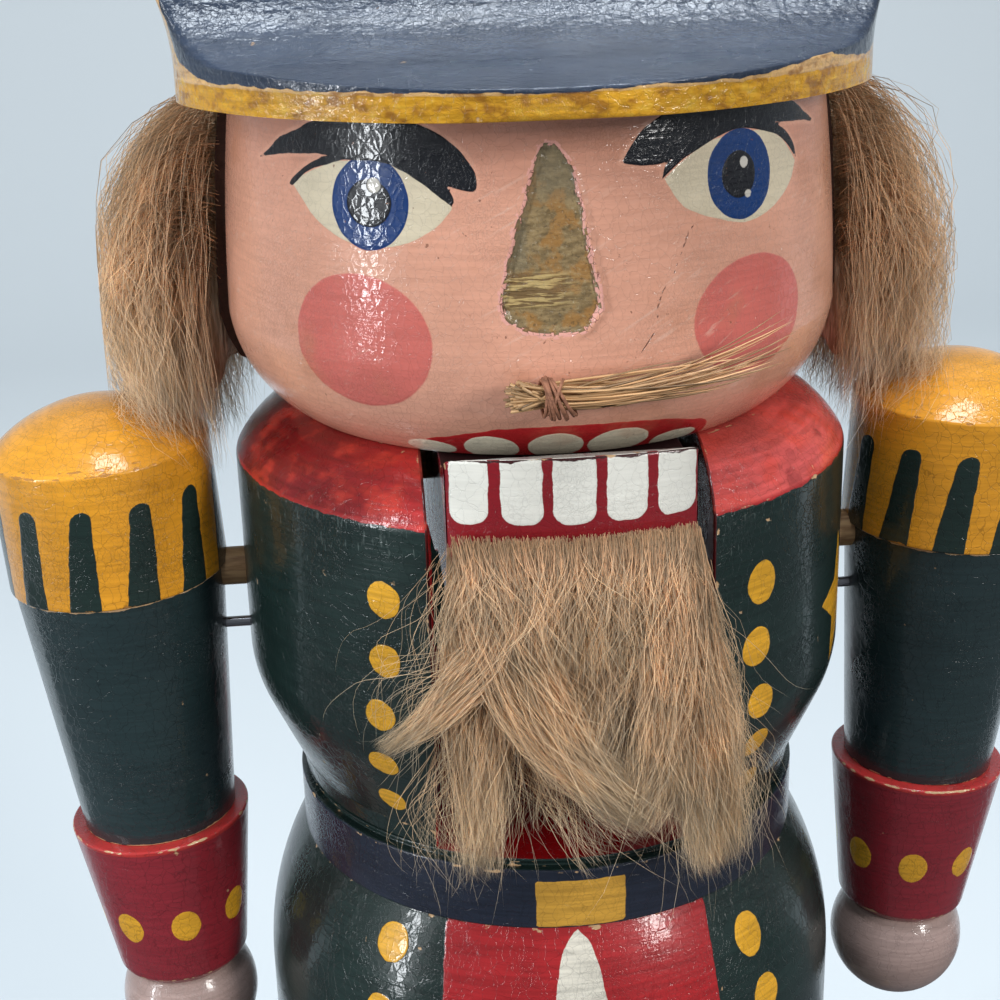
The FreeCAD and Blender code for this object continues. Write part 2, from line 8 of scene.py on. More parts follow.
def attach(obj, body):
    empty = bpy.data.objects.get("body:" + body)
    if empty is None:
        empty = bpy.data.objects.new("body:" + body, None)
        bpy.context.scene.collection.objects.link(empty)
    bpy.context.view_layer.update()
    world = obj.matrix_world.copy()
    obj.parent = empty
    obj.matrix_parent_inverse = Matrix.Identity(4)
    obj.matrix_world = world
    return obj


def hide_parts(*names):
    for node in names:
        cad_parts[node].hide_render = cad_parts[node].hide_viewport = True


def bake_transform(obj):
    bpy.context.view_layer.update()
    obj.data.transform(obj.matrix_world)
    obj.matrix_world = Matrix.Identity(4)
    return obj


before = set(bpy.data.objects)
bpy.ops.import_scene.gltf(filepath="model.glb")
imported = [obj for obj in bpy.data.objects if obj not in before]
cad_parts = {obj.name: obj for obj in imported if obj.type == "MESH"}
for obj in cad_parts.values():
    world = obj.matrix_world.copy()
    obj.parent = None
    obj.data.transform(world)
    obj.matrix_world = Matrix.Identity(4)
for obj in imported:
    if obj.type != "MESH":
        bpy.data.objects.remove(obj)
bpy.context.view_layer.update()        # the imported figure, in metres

# The camera stands in front of the figure, a little to its right and above the brim, and looks down.
# Its place, its turns in degrees and its lens come from the turned edges that the photograph shows.
camera_place = (-0.0248, -0.2152, 0.2610)
camera_yaw = math.radians(5.18)
camera_pitch = math.radians(20.23)
camera_roll = math.radians(-1.65)
camera_lens = 63.0
ahead = np.array([
    math.sin(camera_yaw) * math.cos(camera_pitch),
    math.cos(camera_yaw) * math.cos(camera_pitch),
    -math.sin(camera_pitch),
])
level = np.array([math.cos(camera_yaw), -math.sin(camera_yaw), 0.0])
upward = np.cross(level, ahead)
camera_right = math.cos(camera_roll) * level + math.sin(camera_roll) * upward
camera_up = math.cos(camera_roll) * upward - math.sin(camera_roll) * level
lens = bpy.data.cameras.new("camera")
lens.lens = camera_lens
lens.sensor_width = 36.0
lens.clip_start = 0.01
camera = bpy.data.objects.new("camera", lens)
turn = Matrix((camera_right, camera_up, -ahead)).transposed().to_4x4()
camera.matrix_world = Matrix.Translation(camera_place) @ turn
bpy.context.scene.collection.objects.link(camera)
bpy.context.scene.camera = camera
bpy.context.scene.view_settings.view_transform = "Standard"


def colour(red, green, blue):
    """A paint colour from its red, green and blue as a screen shows them, 0 to 255, turned into light."""
    shown = np.array([red, green, blue]) / 255.0
    light = np.where(shown <= 0.04045, shown / 12.92, ((shown + 0.055) / 1.055) ** 2.4)
    return (*light.tolist(), 1.0)


class Flow:
    """What a shader node gives. Sums, differences and products of it are new Math nodes beside it."""

    def __init__(self, socket):
        self.socket = socket

    def __add__(self, other):
        return calc("ADD", self, other)

    def __radd__(self, other):
        return calc("ADD", other, self)

    def __sub__(self, other):
        return calc("SUBTRACT", self, other)

    def __rsub__(self, other):
        return calc("SUBTRACT", other, self)

    def __mul__(self, other):
        return calc("MULTIPLY", self, other)


def fed(node, inputs):
    """Gives a node its inputs. Each is a number, a colour or what another node gives."""
    for key, value in dict(inputs).items():
        if isinstance(value, Flow):
            node.id_data.links.new(value.socket, node.inputs[key])
        else:
            node.inputs[key].default_value = value
    return node


def given(tree, kind, inputs=(), output=0, **settings):
    """What a new shader node gives."""
    made = tree.nodes.new("ShaderNode" + kind)
    for key, value in settings.items():
        setattr(made, key, value)
    return Flow(fed(made, inputs).outputs[output])


def beside(*values):
    """The node tree that the first of the given flows belongs to."""
    return next(value.socket.id_data for value in values if isinstance(value, Flow))


def calc(operation, *values, clamp=False):
    """The result of one Math node."""
    return given(beside(*values), "Math", enumerate(values), operation=operation, use_clamp=clamp)


def spread(value, low, high, to_low=0.0, to_high=1.0):
    """The value carried smoothly from one range to another, and held at its ends."""
    inputs = {0: value, 1: low, 2: high, 3: to_low, 4: to_high}
    return given(beside(value), "MapRange", inputs, interpolation_type="SMOOTHSTEP")


def tinted(share, under, over, blend="MIX"):
    """One colour laid over another by a share."""
    inputs = {0: share, 6: under, 7: over}
    return given(beside(share, under, over), "Mix", inputs, 2, data_type="RGBA", blend_type=blend)


def new_finish(name):
    """A new material, its node tree and its shader."""
    material = bpy.data.materials.new(name)
    material.use_nodes = True
    return material, material.node_tree, material.node_tree.nodes["Principled BSDF"]


# The figure stands on a dark grey table, and behind it a pale sheet runs back and up into a wall.
# A tall narrow window stands at the figure's right and a smaller one at its left. Two lamps hang overhead.
def laid_out(name, path_y, path_z, half_width, tone):
    """A stage surface: a path in Y and Z carried along X."""
    across = np.array([-half_width, 0.0, half_width])
    at = np.stack(np.broadcast_arrays(across[None, :], path_y[:, None], path_z[:, None]), axis=-1)
    rows, columns = at.shape[:2]
    index = np.arange(rows * columns).reshape(rows, columns)
    quads = np.stack(
        [index[:-1, :-1], index[:-1, 1:], index[1:, 1:], index[1:, :-1]], axis=-1).reshape(-1, 4)
    mesh = bpy.data.meshes.new(name)
    mesh.from_pydata(at.reshape(-1, 3).tolist(), [], quads.tolist())
    mesh.shade_smooth()
    made = bpy.data.objects.new(name, mesh)
    bpy.context.scene.collection.objects.link(made)
    finish, _, shader = new_finish(name)
    fed(shader, {"Base Color": colour(*tone), "Roughness": 0.8})
    mesh.materials.append(finish)


bend = np.linspace(0, math.pi / 2, 24)
bend_radius = 0.45
bend_y = 0.75
stage_half_width = 2.2
sheet_y = np.concatenate([[0.11, 0.3], bend_y + bend_radius * np.sin(bend), [bend_y + bend_radius]])
sheet_z = np.concatenate([[0, 0], bend_radius * (1 - np.cos(bend)), [2.2]])
laid_out("sheet", sheet_y, sheet_z, stage_half_width, (214, 220, 223))
laid_out("table", np.array([-2.0, 0.115]), np.array([-0.0002, -0.0002]), stage_half_width, (84, 86, 90))

room = bpy.data.worlds.new("room")
room.use_nodes = True
fed(room.node_tree.nodes["Background"], {"Color": (0.86, 0.93, 1.0, 1.0), "Strength": 0.36})
bpy.context.scene.world = room


def soft_lamp(name, stands_at, points_at, width, height, watts, tone):
    """A flat lamp whose face is turned to a point."""
    data = bpy.data.lights.new(name, "AREA")
    data.shape = "RECTANGLE"
    data.size = width
    data.size_y = height
    data.energy = watts
    data.color = tone
    lamp = bpy.data.objects.new(name, data)
    away = np.subtract(stands_at, points_at)
    away = away / np.linalg.norm(away)
    side = np.cross((0, 0, 1), away)
    side = side / np.linalg.norm(side)
    turned = Matrix((side, np.cross(away, side), away)).transposed().to_4x4()
    lamp.matrix_world = Matrix.Translation(stands_at) @ turned
    bpy.context.scene.collection.objects.link(lamp)


soft_lamp("right_window", (-0.70, -0.33, 0.40), (0, 0, 0.2), 0.065, 0.72, 5.0, (0.93, 0.97, 1.0))
soft_lamp("left_window", (0.70, -0.85, 0.62), (0, 0, 0.2), 0.20, 0.34, 7.2, (1.0, 0.98, 0.95))
soft_lamp("overhead", (0.06, -0.18, 1.20), (0, 0, 0.2), 0.50, 0.32, 9.6, (0.84, 0.92, 1.0))
soft_lamp("over_the_sheet", (0.0, 0.70, 1.25), (0, 0.66, 0.0), 1.3, 0.5, 1.2, (0.95, 0.98, 1.0))


# The body is one turned block of beech: skirt, hips, belt, waist, chest and shoulders in one piece.
# A slot for the lever is sawn down from the neck, and the whole is painted on the lathe and then by hand.
shoulder_z = 191.0
neck_z = 197.5
slot_floor_z = 146.9
slot_left_x = 15.4
slot_right_x = -16.6
# A paint's field holds the millimetres inside its outline, and this far outside it.
unpainted = -50.0


def outline(corners, spacing):
    """Points along a half profile, from rows of (radius, height, ease, bow).

    A run between corners is start + t * way + 4 * bow * t * (1 - t) * across.
    A corner is eased by a quadratic curve that begins and ends this far from it.
    Gives radius, height and the distance along the profile to the nearest eased corner.
    """
    spots = np.array([row[:2] for row in corners], float)
    runs = []
    marks = []
    length_so_far = 0.0
    for number in range(len(corners) - 1):
        start, end = spots[number], spots[number + 1]
        way = end - start
        length = math.hypot(*way)
        across = np.array([way[1], -way[0]]) / length
        first = corners[number][2] / length
        last = 1 - corners[number + 1][2] / length
        steps = max(2, math.ceil(length * (last - first) / spacing) + 1)
        t = np.linspace(first, last, steps)[:, None]
        bow = corners[number + 1][3]
        run = start + t * way + 4 * bow * t * (1 - t) * across
        if runs and corners[number][2] > 0:
            before, after = runs[-1][-1], run[0]
            s = np.linspace(0, 1, 7)[1:-1, None]
            runs.append((1 - s) ** 2 * before + 2 * s * (1 - s) * start + s ** 2 * after)
        elif runs:
            run = run[1:]
        runs.append(run)
        if corners[number][2] > 0:
            marks.append(length_so_far)
        length_so_far += length
    line = np.vstack(runs)
    if not marks:
        marks = [length_so_far + 100.0]
    steps = np.hypot(*np.diff(line, axis=0).T)
    along = np.concatenate([[0], np.cumsum(steps)])
    along = along * (length_so_far / along[-1])
    edge = np.abs(along[:, None] - np.array(marks)[None, :]).min(axis=1)
    return line[:, 0], line[:, 1], edge


def signed(around):
    """Degrees from the front, from -180 to 180."""
    return (around + 180) % 360 - 180


def turned(radius, height, edge, around, axis_x=0.0, **painted):
    """A skin turned about an upright axis: x = axis + r sin(a), y = -r cos(a), z = h, a from the front."""
    angle = np.radians(around)[None, :]
    r = radius[:, None]
    at = np.broadcast_arrays(axis_x + r * np.sin(angle), -r * np.cos(angle), height[:, None])
    at = np.stack(at, axis=-1)
    full = np.ones((len(radius), len(around)))
    skin = {"at": at, "round": True, "ends": True, "edge": edge[:, None] * full}
    for field, values in painted.items():
        skin[field] = values * full
    return skin


def mesh_of(name, material, points, faces, fields, flat=0):
    """A mesh object in metres from points in millimetres.

    Faces are arrays of corner numbers, one row for each face, and the last few faces may be left flat.
    Fields are numbers for every point, which its paint reads.
    """
    corners = np.concatenate([rows.ravel() for rows in faces]).astype(np.int32)
    sides = np.concatenate([np.full(len(rows), rows.shape[1]) for rows in faces])
    begins = np.concatenate([[0], np.cumsum(sides)[:-1]]).astype(np.int32)
    mesh = bpy.data.meshes.new(name)
    mesh.vertices.add(len(points))
    mesh.vertices.foreach_set("co", (points * 0.001).ravel())
    mesh.loops.add(len(corners))
    mesh.loops.foreach_set("vertex_index", corners)
    mesh.polygons.add(len(sides))
    mesh.polygons.foreach_set("loop_start", begins)
    mesh.update(calc_edges=True)
    mesh.validate()
    for field, values in fields.items():
        layer = mesh.attributes.new(field, "FLOAT", "POINT")
        layer.data.foreach_set("value", values.astype(np.float32))
    mesh.polygons.foreach_set("use_smooth", np.arange(len(sides)) < len(sides) - flat)
    mesh.materials.append(material)
    made = bpy.data.objects.new(name, mesh)
    bpy.context.scene.collection.objects.link(made)
    return made


def piece(name, material, body, *skins):
    """A mesh in metres from skins in millimetres, riding on a body.

    A skin has "at", a grid of points, "round" if its last column joins its first, "ends" if its first and
    last rows are drawn in to their middles, and "lids" if they are closed by one flat face each. Each other
    entry is a number for every point, and a skin without it is far outside that paint.
    """
    fields = sorted({key for skin in skins for key in skin} - {"at", "round", "ends", "lids"})
    points, quads, triangles, lids = [], [], [], []
    painted = {field: [] for field in fields}
    start = 0
    for skin in skins:
        at = skin["at"]
        rows, columns = at.shape[:2]
        values = {
            field: np.asarray(skin.get(field, np.full((rows, columns), unpainted)), float) for field in fields}
        index = start + np.arange(rows * columns).reshape(rows, columns)
        here, beside = index[:, :-1], index[:, 1:]
        if skin.get("round"):
            here, beside = index, np.roll(index, -1, axis=1)
        quads.append(np.stack([here[:-1], beside[:-1], beside[1:], here[1:]], axis=-1).reshape(-1, 4))
        points.append(at.reshape(-1, 3))
        for field in fields:
            painted[field].append(values[field].ravel())
        start += rows * columns
        if skin.get("lids"):
            lids += [index[:1, ::-1], index[-1:]]
        if skin.get("ends"):
            for row, flip in ((0, True), (rows - 1, False)):
                middle = np.full(columns, start)
                first, second = index[row], np.roll(index[row], -1)
                corners = (middle, second, first) if flip else (middle, first, second)
                triangles.append(np.stack(corners, axis=-1))
                points.append(at[row].mean(axis=0)[None])
                for field in fields:
                    painted[field].append(values[field][row].mean()[None])
                start += 1
    numbers = {field: np.concatenate(parts) for field, parts in painted.items()}
    made = mesh_of(name, material, np.concatenate(points), quads + triangles + lids, numbers, len(lids))
    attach(made, body)
    return made


def curved(points, steps):
    """A Catmull-Rom curve through points, with so many steps between two, and without the last point."""
    p = np.array(points, float)
    p = np.vstack([2 * p[0] - p[1], p, 2 * p[-1] - p[-2]])
    t = np.linspace(0, 1, steps + 1)[:-1, None]
    return np.vstack([
        0.5 * (2 * b + (c - a) * t + (2 * a - 5 * b + 4 * c - d) * t ** 2 + (3 * b - a - 3 * c + d) * t ** 3)
        for a, b, c, d in zip(p, p[1:], p[2:], p[3:])])


def brushed(*strokes):
    """A closed painted outline. Each stroke is a curve through its points, and strokes meet in corners."""
    return np.vstack([curved(stroke, 6) for stroke in strokes])


def beside_line(x, y, line):
    """Millimetres from each point to an open line: to the nearest of all its straight sides."""
    nearest = np.full(x.shape, 50.0)
    for (ax, ay), (bx, by) in zip(line, line[1:]):
        dx, dy = bx - ax, by - ay
        if dx != 0 or dy != 0:
            along = np.clip(((x - ax) * dx + (y - ay) * dy) / (dx * dx + dy * dy), 0, 1)
            nearest = np.minimum(nearest, np.hypot(x - ax - along * dx, y - ay - along * dy))
    return nearest


def inside(x, y, line):
    """Millimetres from each point to a closed line, above zero inside it.

    A point is inside if a ray from it crosses the line an odd number of times.
    """
    closed = np.vstack([line[-1:], line])
    within = np.zeros(x.shape, bool)
    for (ax, ay), (bx, by) in zip(closed, closed[1:]):
        if by != ay:
            within ^= ((ay > y) != (by > y)) & (x < ax + (y - ay) * (bx - ax) / (by - ay))
    nearest = beside_line(x, y, closed)
    return np.where(within, nearest, -nearest)


def oval(x, y, middle_x, middle_y, half_width, half_height):
    """About how far each point is inside an oval, in millimetres."""
    spread_out = np.hypot((x - middle_x) / half_width, (y - middle_y) / half_height)
    return (1 - spread_out) * min(half_width, half_height)


def new_group(name, inputs, outputs):
    """An empty node group from inputs (name, value) and output names, with what comes in and its end node."""
    group = bpy.data.node_groups.new(name, "ShaderNodeTree")
    for socket, value in inputs:
        made = group.interface.new_socket(socket, in_out="INPUT", socket_type="NodeSocketFloat")
        made.default_value = value
    for socket in outputs:
        group.interface.new_socket(socket, in_out="OUTPUT", socket_type="NodeSocketFloat")
    entry = group.nodes.new("NodeGroupInput")
    leaving = group.nodes.new("NodeGroupOutput")
    return group, {socket.name: Flow(socket) for socket in entry.outputs}, leaving


def on_object(tree, scale=(1.0, 1.0, 1.0)):
    """Object coordinates in millimetres, drawn out along an axis by a smaller scale."""
    metres = given(tree, "TexCoord", output="Object")
    return given(tree, "VectorMath", {0: metres, 1: tuple(1000.0 * s for s in scale)}, operation="MULTIPLY")


def noise(tree, pace, detail, scale=(1.0, 1.0, 1.0), output=0):
    """Cloudy noise with so many lumps to a millimetre."""
    inputs = {"Vector": on_object(tree, scale), "Scale": pace, "Detail": detail}
    return given(tree, "TexNoise", inputs, output)


def along_axis(tree, axis):
    """Millimetres along X, Y or Z, given as 0, 1 or 2."""
    return given(tree, "SeparateXYZ", {0: on_object(tree)}, axis)


# A painted edge: the line wavers as a brush does, and the paint stands up a little along it.
painted_edge, entry, leaving = new_group(
    "painted_edge", (("Distance", 0.0), ("Waver", 0.12), ("Softness", 0.05)), ("Mask", "Height"))
waver = noise(painted_edge, 0.45, 3.0)
shift = (waver - 0.5) * entry["Waver"]
wavered = entry["Distance"] + shift * 3.0
mask = spread(wavered, entry["Softness"] * -1.0, entry["Softness"])
fed(leaving, {"Mask": mask, "Height": spread(wavered, -0.12, 0.25)})

# Old varnish: cracks between small flakes, each flake a little hollow, with a finer net inside.
crackle, entry, leaving = new_group("crackle", (("Cell", 1.2), ("Width", 0.05)), ("Lines", "Height"))
cracks = []
for share, width_share in ((1.0, 1.0), (0.37, 0.6)):
    size = entry["Cell"] * share
    bent = noise(crackle, 0.7, 2.0, output="Color")
    drift = given(crackle, "VectorMath", {0: bent, 1: (0.9, 0.9, 0.9)}, operation="MULTIPLY")
    where = given(crackle, "VectorMath", {0: on_object(crackle, (1.0, 1.0, 0.8)), 1: drift})
    cells = {"Vector": where, "Scale": calc("DIVIDE", 1.0, size)}
    gap = given(crackle, "TexVoronoi", cells, "Distance", feature="DISTANCE_TO_EDGE") * size
    line = spread(gap, 0.0, entry["Width"] * width_share, 1.0, 0.0)
    cracks.append((line, calc("DIVIDE", gap, size)))
(coarse_line, coarse_cup), (fine_line, fine_cup) = cracks
fine_here = spread(noise(crackle, 0.09, 2.0), 0.42, 0.62)
flake = (calc("SQRT", coarse_cup) + calc("SQRT", fine_cup) * (fine_here * 0.35)) * -0.6
fed(leaving, {"Lines": calc("MAXIMUM", coarse_line, fine_line * fine_here), "Height": flake})

# Brush marks: long fine streaks round a turned piece, as the brush is held against it on the lathe.
brush_marks, entry, leaving = new_group("brush_marks", (("Fineness", 1.0),), ("Streaks", "Clouds"))
streaks = noise(brush_marks, entry["Fineness"], 4.0, (0.06, 0.06, 1.0))
clouds = noise(brush_marks, 0.07, 4.0)
fed(leaving, {"Streaks": spread(streaks, 0.3, 0.7), "Clouds": spread(clouds, 0.3, 0.7)})

# Worn edges: the paint is rubbed through near an eased corner, in spots.
worn_edge, entry, leaving = new_group(
    "worn_edge", (("Edge", 50.0), ("Reach", 0.5), ("Amount", 0.5)), ("Mask",))
rubbed = spread(entry["Edge"], 0.0, entry["Reach"], 1.0, 0.0) * entry["Amount"]
above = noise(worn_edge, 0.55, 5.0) * 1.35 - (1.0 - rubbed)
fed(leaving, {"Mask": spread(above, -0.02, 0.06)})


def field_of(tree, name):
    """The number that a piece carries at each point under this name."""
    return given(tree, "Attribute", output="Fac", attribute_name=name)


def use(tree, group, **inputs):
    """Puts a node group into a material with its own values."""
    made = tree.nodes.new("ShaderNodeGroup")
    made.node_tree = group
    return {socket.name: Flow(socket) for socket in fed(made, inputs).outputs}


def paint(name, ground, layers=(), roughness=0.3, cell=1.3, crack=0.05, crack_dark=0.35, streak=0.12,
          cloud=0.12, bared=(196, 160, 120), wear=0.2, relief=0.03, lumps=0.0, lump_pace=0.85, gloss=0.6,
          dull=None, extra=None):
    """A brush-painted and varnished surface.

    Layers are rows of (field, colour, waver, softness), laid one over another where the field is above zero.
    Height in millimetres is the paint's edges, less the crackle, plus the brush marks and the coat's lumps.
    """
    material, tree, shader = new_finish(name)
    marks = use(tree, brush_marks, Fineness=2.2)
    net = use(tree, crackle, Cell=cell, Width=crack)
    skin = colour(*ground)
    height = 0.0
    for field, tone, wavering, soft in layers:
        edge = use(tree, painted_edge, Distance=field_of(tree, field), Waver=wavering, Softness=soft)
        skin = tinted(edge["Mask"], skin, colour(*tone))
        height = height + edge["Height"] * 0.035
    if extra:
        skin, height = extra(tree, skin, height)
    streaky = 1.0 - streak + marks["Streaks"] * (1.6 * streak)
    cloudy = 1.0 - cloud + marks["Clouds"] * (1.6 * cloud)
    shade = streaky * cloudy * (1.0 - net["Lines"] * crack_dark)
    grey = given(tree, "CombineColor", {0: shade, 1: shade, 2: shade})
    skin = tinted(1.0, skin, grey, "MULTIPLY")
    rub = use(tree, worn_edge, Edge=field_of(tree, "edge"), Reach=0.4, Amount=wear)
    skin = tinted(rub["Mask"], skin, colour(*bared))
    height = height + net["Height"] * relief - net["Lines"] * 0.02 + marks["Streaks"] * 0.012
    height = height - rub["Mask"] * 0.05 + noise(tree, lump_pace, 5.0, (0.6, 0.8, 1.0)) * lumps
    rough = roughness - 0.05 + marks["Clouds"] * 0.12
    rough = calc("ADD", rough, rub["Mask"] * 0.3, clamp=True)
    bump = given(tree, "Bump", {"Strength": 1.0, "Distance": 0.001, "Height": height})
    if dull:
        flat = spread(field_of(tree, dull), -0.05, 0.05)
        rough = calc("ADD", rough, flat * 0.5, clamp=True)
        gloss = (1.0 - flat) * gloss
    fed(shader, {"Base Color": skin, "Roughness": rough, "Normal": bump, "Specular IOR Level": 0.2})
    fed(shader, {"Coat Weight": gloss, "Coat Roughness": 0.06, "Coat Normal": bump})
    return material


# Half profiles, in rows of (radius, height, ease, bow).
body_corners = (
    (37.5, 98.0, 0.0, 0.0), (39.5, 100.0, 1.6, 0.6), (39.5, 116.0, 0.0, 0.0), (33.3, 137.5, 0.15, 1.58),
    (33.6, 137.5, 0.12, 0.0), (33.6, 145.7, 0.4, 0.0), (32.4, 145.7, 0.2, 0.0), (32.4, 146.4, 0.2, 0.0),
    (32.9, 146.4, 0.15, 0.0), (32.98, 146.9, 0.0, 0.0),
)
cheek_corners = (
    (32.98, 146.9, 0.0, 0.0), (33.4, 149.5, 0.2, 0.0), (37.6, 159.0, 1.2, 0.0), (39.0, 165.0, 0.0, 0.3),
    (39.0, 191.0, 0.45, 0.0), (30.5, 197.5, 0.5, 1.1), (28.5, 197.5, 0.0, 0.0),
)


def body_paint(azimuth, radius, height):
    """The coat's painted fields, by the angle from the front, the radius and the height, all in a grid."""
    z = height - shoulder_z
    across = np.radians(azimuth) * radius
    belt = np.minimum(z + 53.4, -45.4 - z)
    buckle = np.minimum(5.55 - np.abs(across - 0.2), np.minimum(z + 53.3, -46.9 - z))
    buttons = np.full(np.shape(across * z), unpainted)
    button_rows = (
        (-34.1, -8.9, 2.2, 2.25), (-34.4, -16.6, 2.1, 2.1), (-36.0, -23.8, 2.1, 2.0),
        (-36.9, -30.8, 2.1, 1.7), (-38.6, -37.3, 2.0, 1.7), (34.3, -9.8, 2.3, 2.7), (33.4, -17.8, 2.3, 2.5),
        (34.8, -25.2, 2.2, 2.2), (35.6, -31.4, 2.1, 2.0), (39.0, -38.6, 2.0, 1.9), (-40.0, -57.8, 2.3, 2.3),
        (-40.4, -66.5, 2.3, 2.3), (-40.4, -76.0, 2.3, 2.3), (37.6, -59.7, 2.3, 2.7),
        (39.1, -68.0, 2.3, 2.6), (39.1, -77.0, 2.3, 2.5),
    )
    for at, level, half_width, half_height in button_rows:
        button = oval(across, z, math.radians(at) * radius, level, half_width, half_height)
        buttons = np.maximum(buttons, button)
    turns = np.radians(90 + 36 * np.arange(10) + 8)
    reach = np.where(np.arange(10) % 2 == 0, 9.2, 4.2)
    star_line = np.stack(
        [math.radians(68.5) * 39 + reach * np.cos(turns), -19.5 + reach * np.sin(turns)], axis=-1)
    star = inside(across, np.broadcast_to(z, across.shape), star_line)
    apron_side = 16.9 + 0.105 * (-53.5 - z)
    apron = np.minimum(apron_side - np.abs(across), -53.55 - z)
    drop_line = brushed(
        [(-0.4, -53.8), (1.1, -55.4), (2.2, -58.6), (3.0, -64), (3.2, -70), (2.2, -76), (0, -80.5)],
        [(0, -80.5), (-2.6, -76), (-3.9, -70), (-3.8, -64), (-3.0, -58.6), (-1.9, -55.4), (-0.4, -53.8)])
    drop = inside(across, np.broadcast_to(z, across.shape), drop_line)
    buttons = np.maximum(buttons, star)
    return {"red": z - 0.1, "belt": belt, "buckle": buckle, "button": buttons, "apron": apron, "drop": drop}


def lower_body():
    """The skirt, hips and belt: a full turn up to the slot's floor, which is painted dark red."""
    radius, height, edge = outline(body_corners, 0.5)
    floor = np.array([32.9, 32.6, 31.0, 27.0])
    maroon = np.concatenate([np.full(len(radius), -1.0), np.full(len(floor), 1.0)])[:, None]
    radius = np.concatenate([radius, floor])
    height = np.concatenate([height, np.full(len(floor), slot_floor_z)])
    edge = np.concatenate([edge, np.full(len(floor), 3.0)])
    around = np.concatenate([np.arange(-95, 95, 0.75), np.arange(95, 265, 2.0)])
    fields = body_paint(signed(around)[None, :], radius[:, None], height[:, None])
    return turned(radius, height, edge, around, maroon=maroon, **fields)


def cheek(wall_x):
    """One half of the chest beside the slot: an arc of the turned profile, closed by the sawn wall.

    Each level is a loop: the arc from one eased corner round the outside to the other, then along the wall.
    """
    radius, height, edge = outline(cheek_corners, 0.5)
    side = 1 if wall_x > 0 else -1
    ease = 0.5
    start = np.degrees(np.arcsin(abs(wall_x) / radius) + ease / radius)[:, None]
    t = np.concatenate([np.linspace(0, 0.55, 110), np.linspace(0.56, 1, 44)])[None, :]
    azimuth = start + t * (180 - 2 * start)
    r = radius[:, None]
    arc_x = r * np.sin(np.radians(azimuth))
    arc_y = -r * np.cos(np.radians(azimuth))
    wall_y = np.sqrt(r ** 2 - wall_x ** 2)
    s = np.linspace(0, 1, 6)[None, 1:-1]
    wall_t = np.linspace(0, 1, 26)[None, :]
    back_y = (1 - s) ** 2 * arc_y[:, -1:] + 2 * s * (1 - s) * wall_y + s ** 2 * (wall_y - ease)
    back_x = (1 - s) ** 2 * arc_x[:, -1:] + (2 * s * (1 - s) + s ** 2) * abs(wall_x)
    along_y = (wall_y - ease) * (1 - 2 * wall_t)
    along_x = abs(wall_x) + 0 * along_y
    front_y = -back_y[:, ::-1]
    front_x = back_x[:, ::-1]
    x = np.concatenate([arc_x, back_x, along_x, front_x], axis=1)
    y = np.concatenate([arc_y, back_y, along_y, front_y], axis=1)
    angle = np.degrees(np.arctan2(x, -y))
    depth = np.concatenate([0 * arc_x - 1, 0 * back_x + 0.15, 0 * along_x + 1, 0 * front_x + 0.15], axis=1)
    corner = np.minimum(np.abs(angle - start), np.abs(180 - start - angle)) * np.radians(r)
    corner = np.where(depth > 0.5, (wall_y - np.abs(y)), corner)
    if side < 0:
        x, y, angle = -x[:, ::-1], y[:, ::-1], -angle[:, ::-1]
        depth, corner = depth[:, ::-1], corner[:, ::-1]
    z = np.broadcast_to(height[:, None], x.shape)
    skin = {"at": np.stack([x, y, z], axis=-1), "round": True, "ends": True, "maroon": depth}
    skin["edge"] = np.minimum(edge[:, None], corner)
    for field, values in body_paint(angle, r, height[:, None]).items():
        skin[field] = np.where(depth > 0.5, unpainted, values)
    return skin


def scratches_and_painted_light(tree, skin, height):
    """Fine upright scratches and dust, thickest just under the shoulder line, and a mottled red.

    The red has painted light on the figure's left and painted shade on its right, and the slot's walls have
    painted shade.
    """
    level = along_axis(tree, 2)
    near_shoulder = spread(level, 182.0, 190.5) * spread(level, 190.8, 191.2, 1.0, 0.0)
    limit = 0.8 - near_shoulder * 0.17 - spread(noise(tree, 0.16, 3.0), 0.45, 0.7) * 0.1
    scratch = noise(tree, 2.6, 4.0, (1.0, 1.0, 0.22)) - limit
    skin = tinted(spread(scratch, 0.0, 0.05, 0.0, 0.22), skin, colour(130, 142, 138))
    aside = along_axis(tree, 0)
    redness = spread(field_of(tree, "red"), 0.0, 0.6)
    # Painted light and shade on the red shoulders: paler and pinker on the figure's left, darker on its right.
    red_painted_light = redness * spread(aside, 2.0, 20.0, 0.0, 0.75)
    skin = tinted(red_painted_light, skin, colour(222, 96, 90))
    red_painted_shade = redness * spread(aside, -14.0, -30.0, 0.0, 0.8)
    skin = tinted(red_painted_shade, skin, colour(96, 16, 20))
    # Painted shade: the slot's dark red walls are darkened further above its floor, deep in the slot.
    sawn = spread(field_of(tree, "maroon"), -0.05, 0.05) * spread(level, 149.0, 154.0)
    skin = tinted(sawn * 0.85, skin, colour(46, 12, 14))
    blot = noise(tree, 0.24, 6.0, (1.0, 1.0, 1.6))
    skin = tinted(redness * spread(blot, 0.45, 0.7, 0.0, 0.6), skin, colour(206, 66, 50))
    skin = tinted(redness * spread(blot, 0.45, 0.25, 0.0, 0.55), skin, colour(118, 20, 26))
    return skin, height


coat_green = (27, 43, 40)
coat_red = (176, 42, 42)
coat_finish = paint("coat_paint", coat_green, (
    ("red", coat_red, 0.25, 0.06),
    ("belt", (36, 42, 56), 0.15, 0.05),
    ("buckle", (206, 156, 62), 0.15, 0.05),
    ("button", (226, 166, 44), 0.18, 0.05),
    ("apron", (170, 36, 40), 0.2, 0.05),
    ("drop", (226, 220, 205), 0.15, 0.05),
    ("maroon", (150, 16, 20), 0.1, 0.05),
), roughness=0.26, streak=0.2, cloud=0.2, crack_dark=0.25, gloss=0.45, extra=scratches_and_painted_light)
body = piece("turned_body", coat_finish, "figure", lower_body(), cheek(slot_left_x), cheek(slot_right_x))
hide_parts("body")


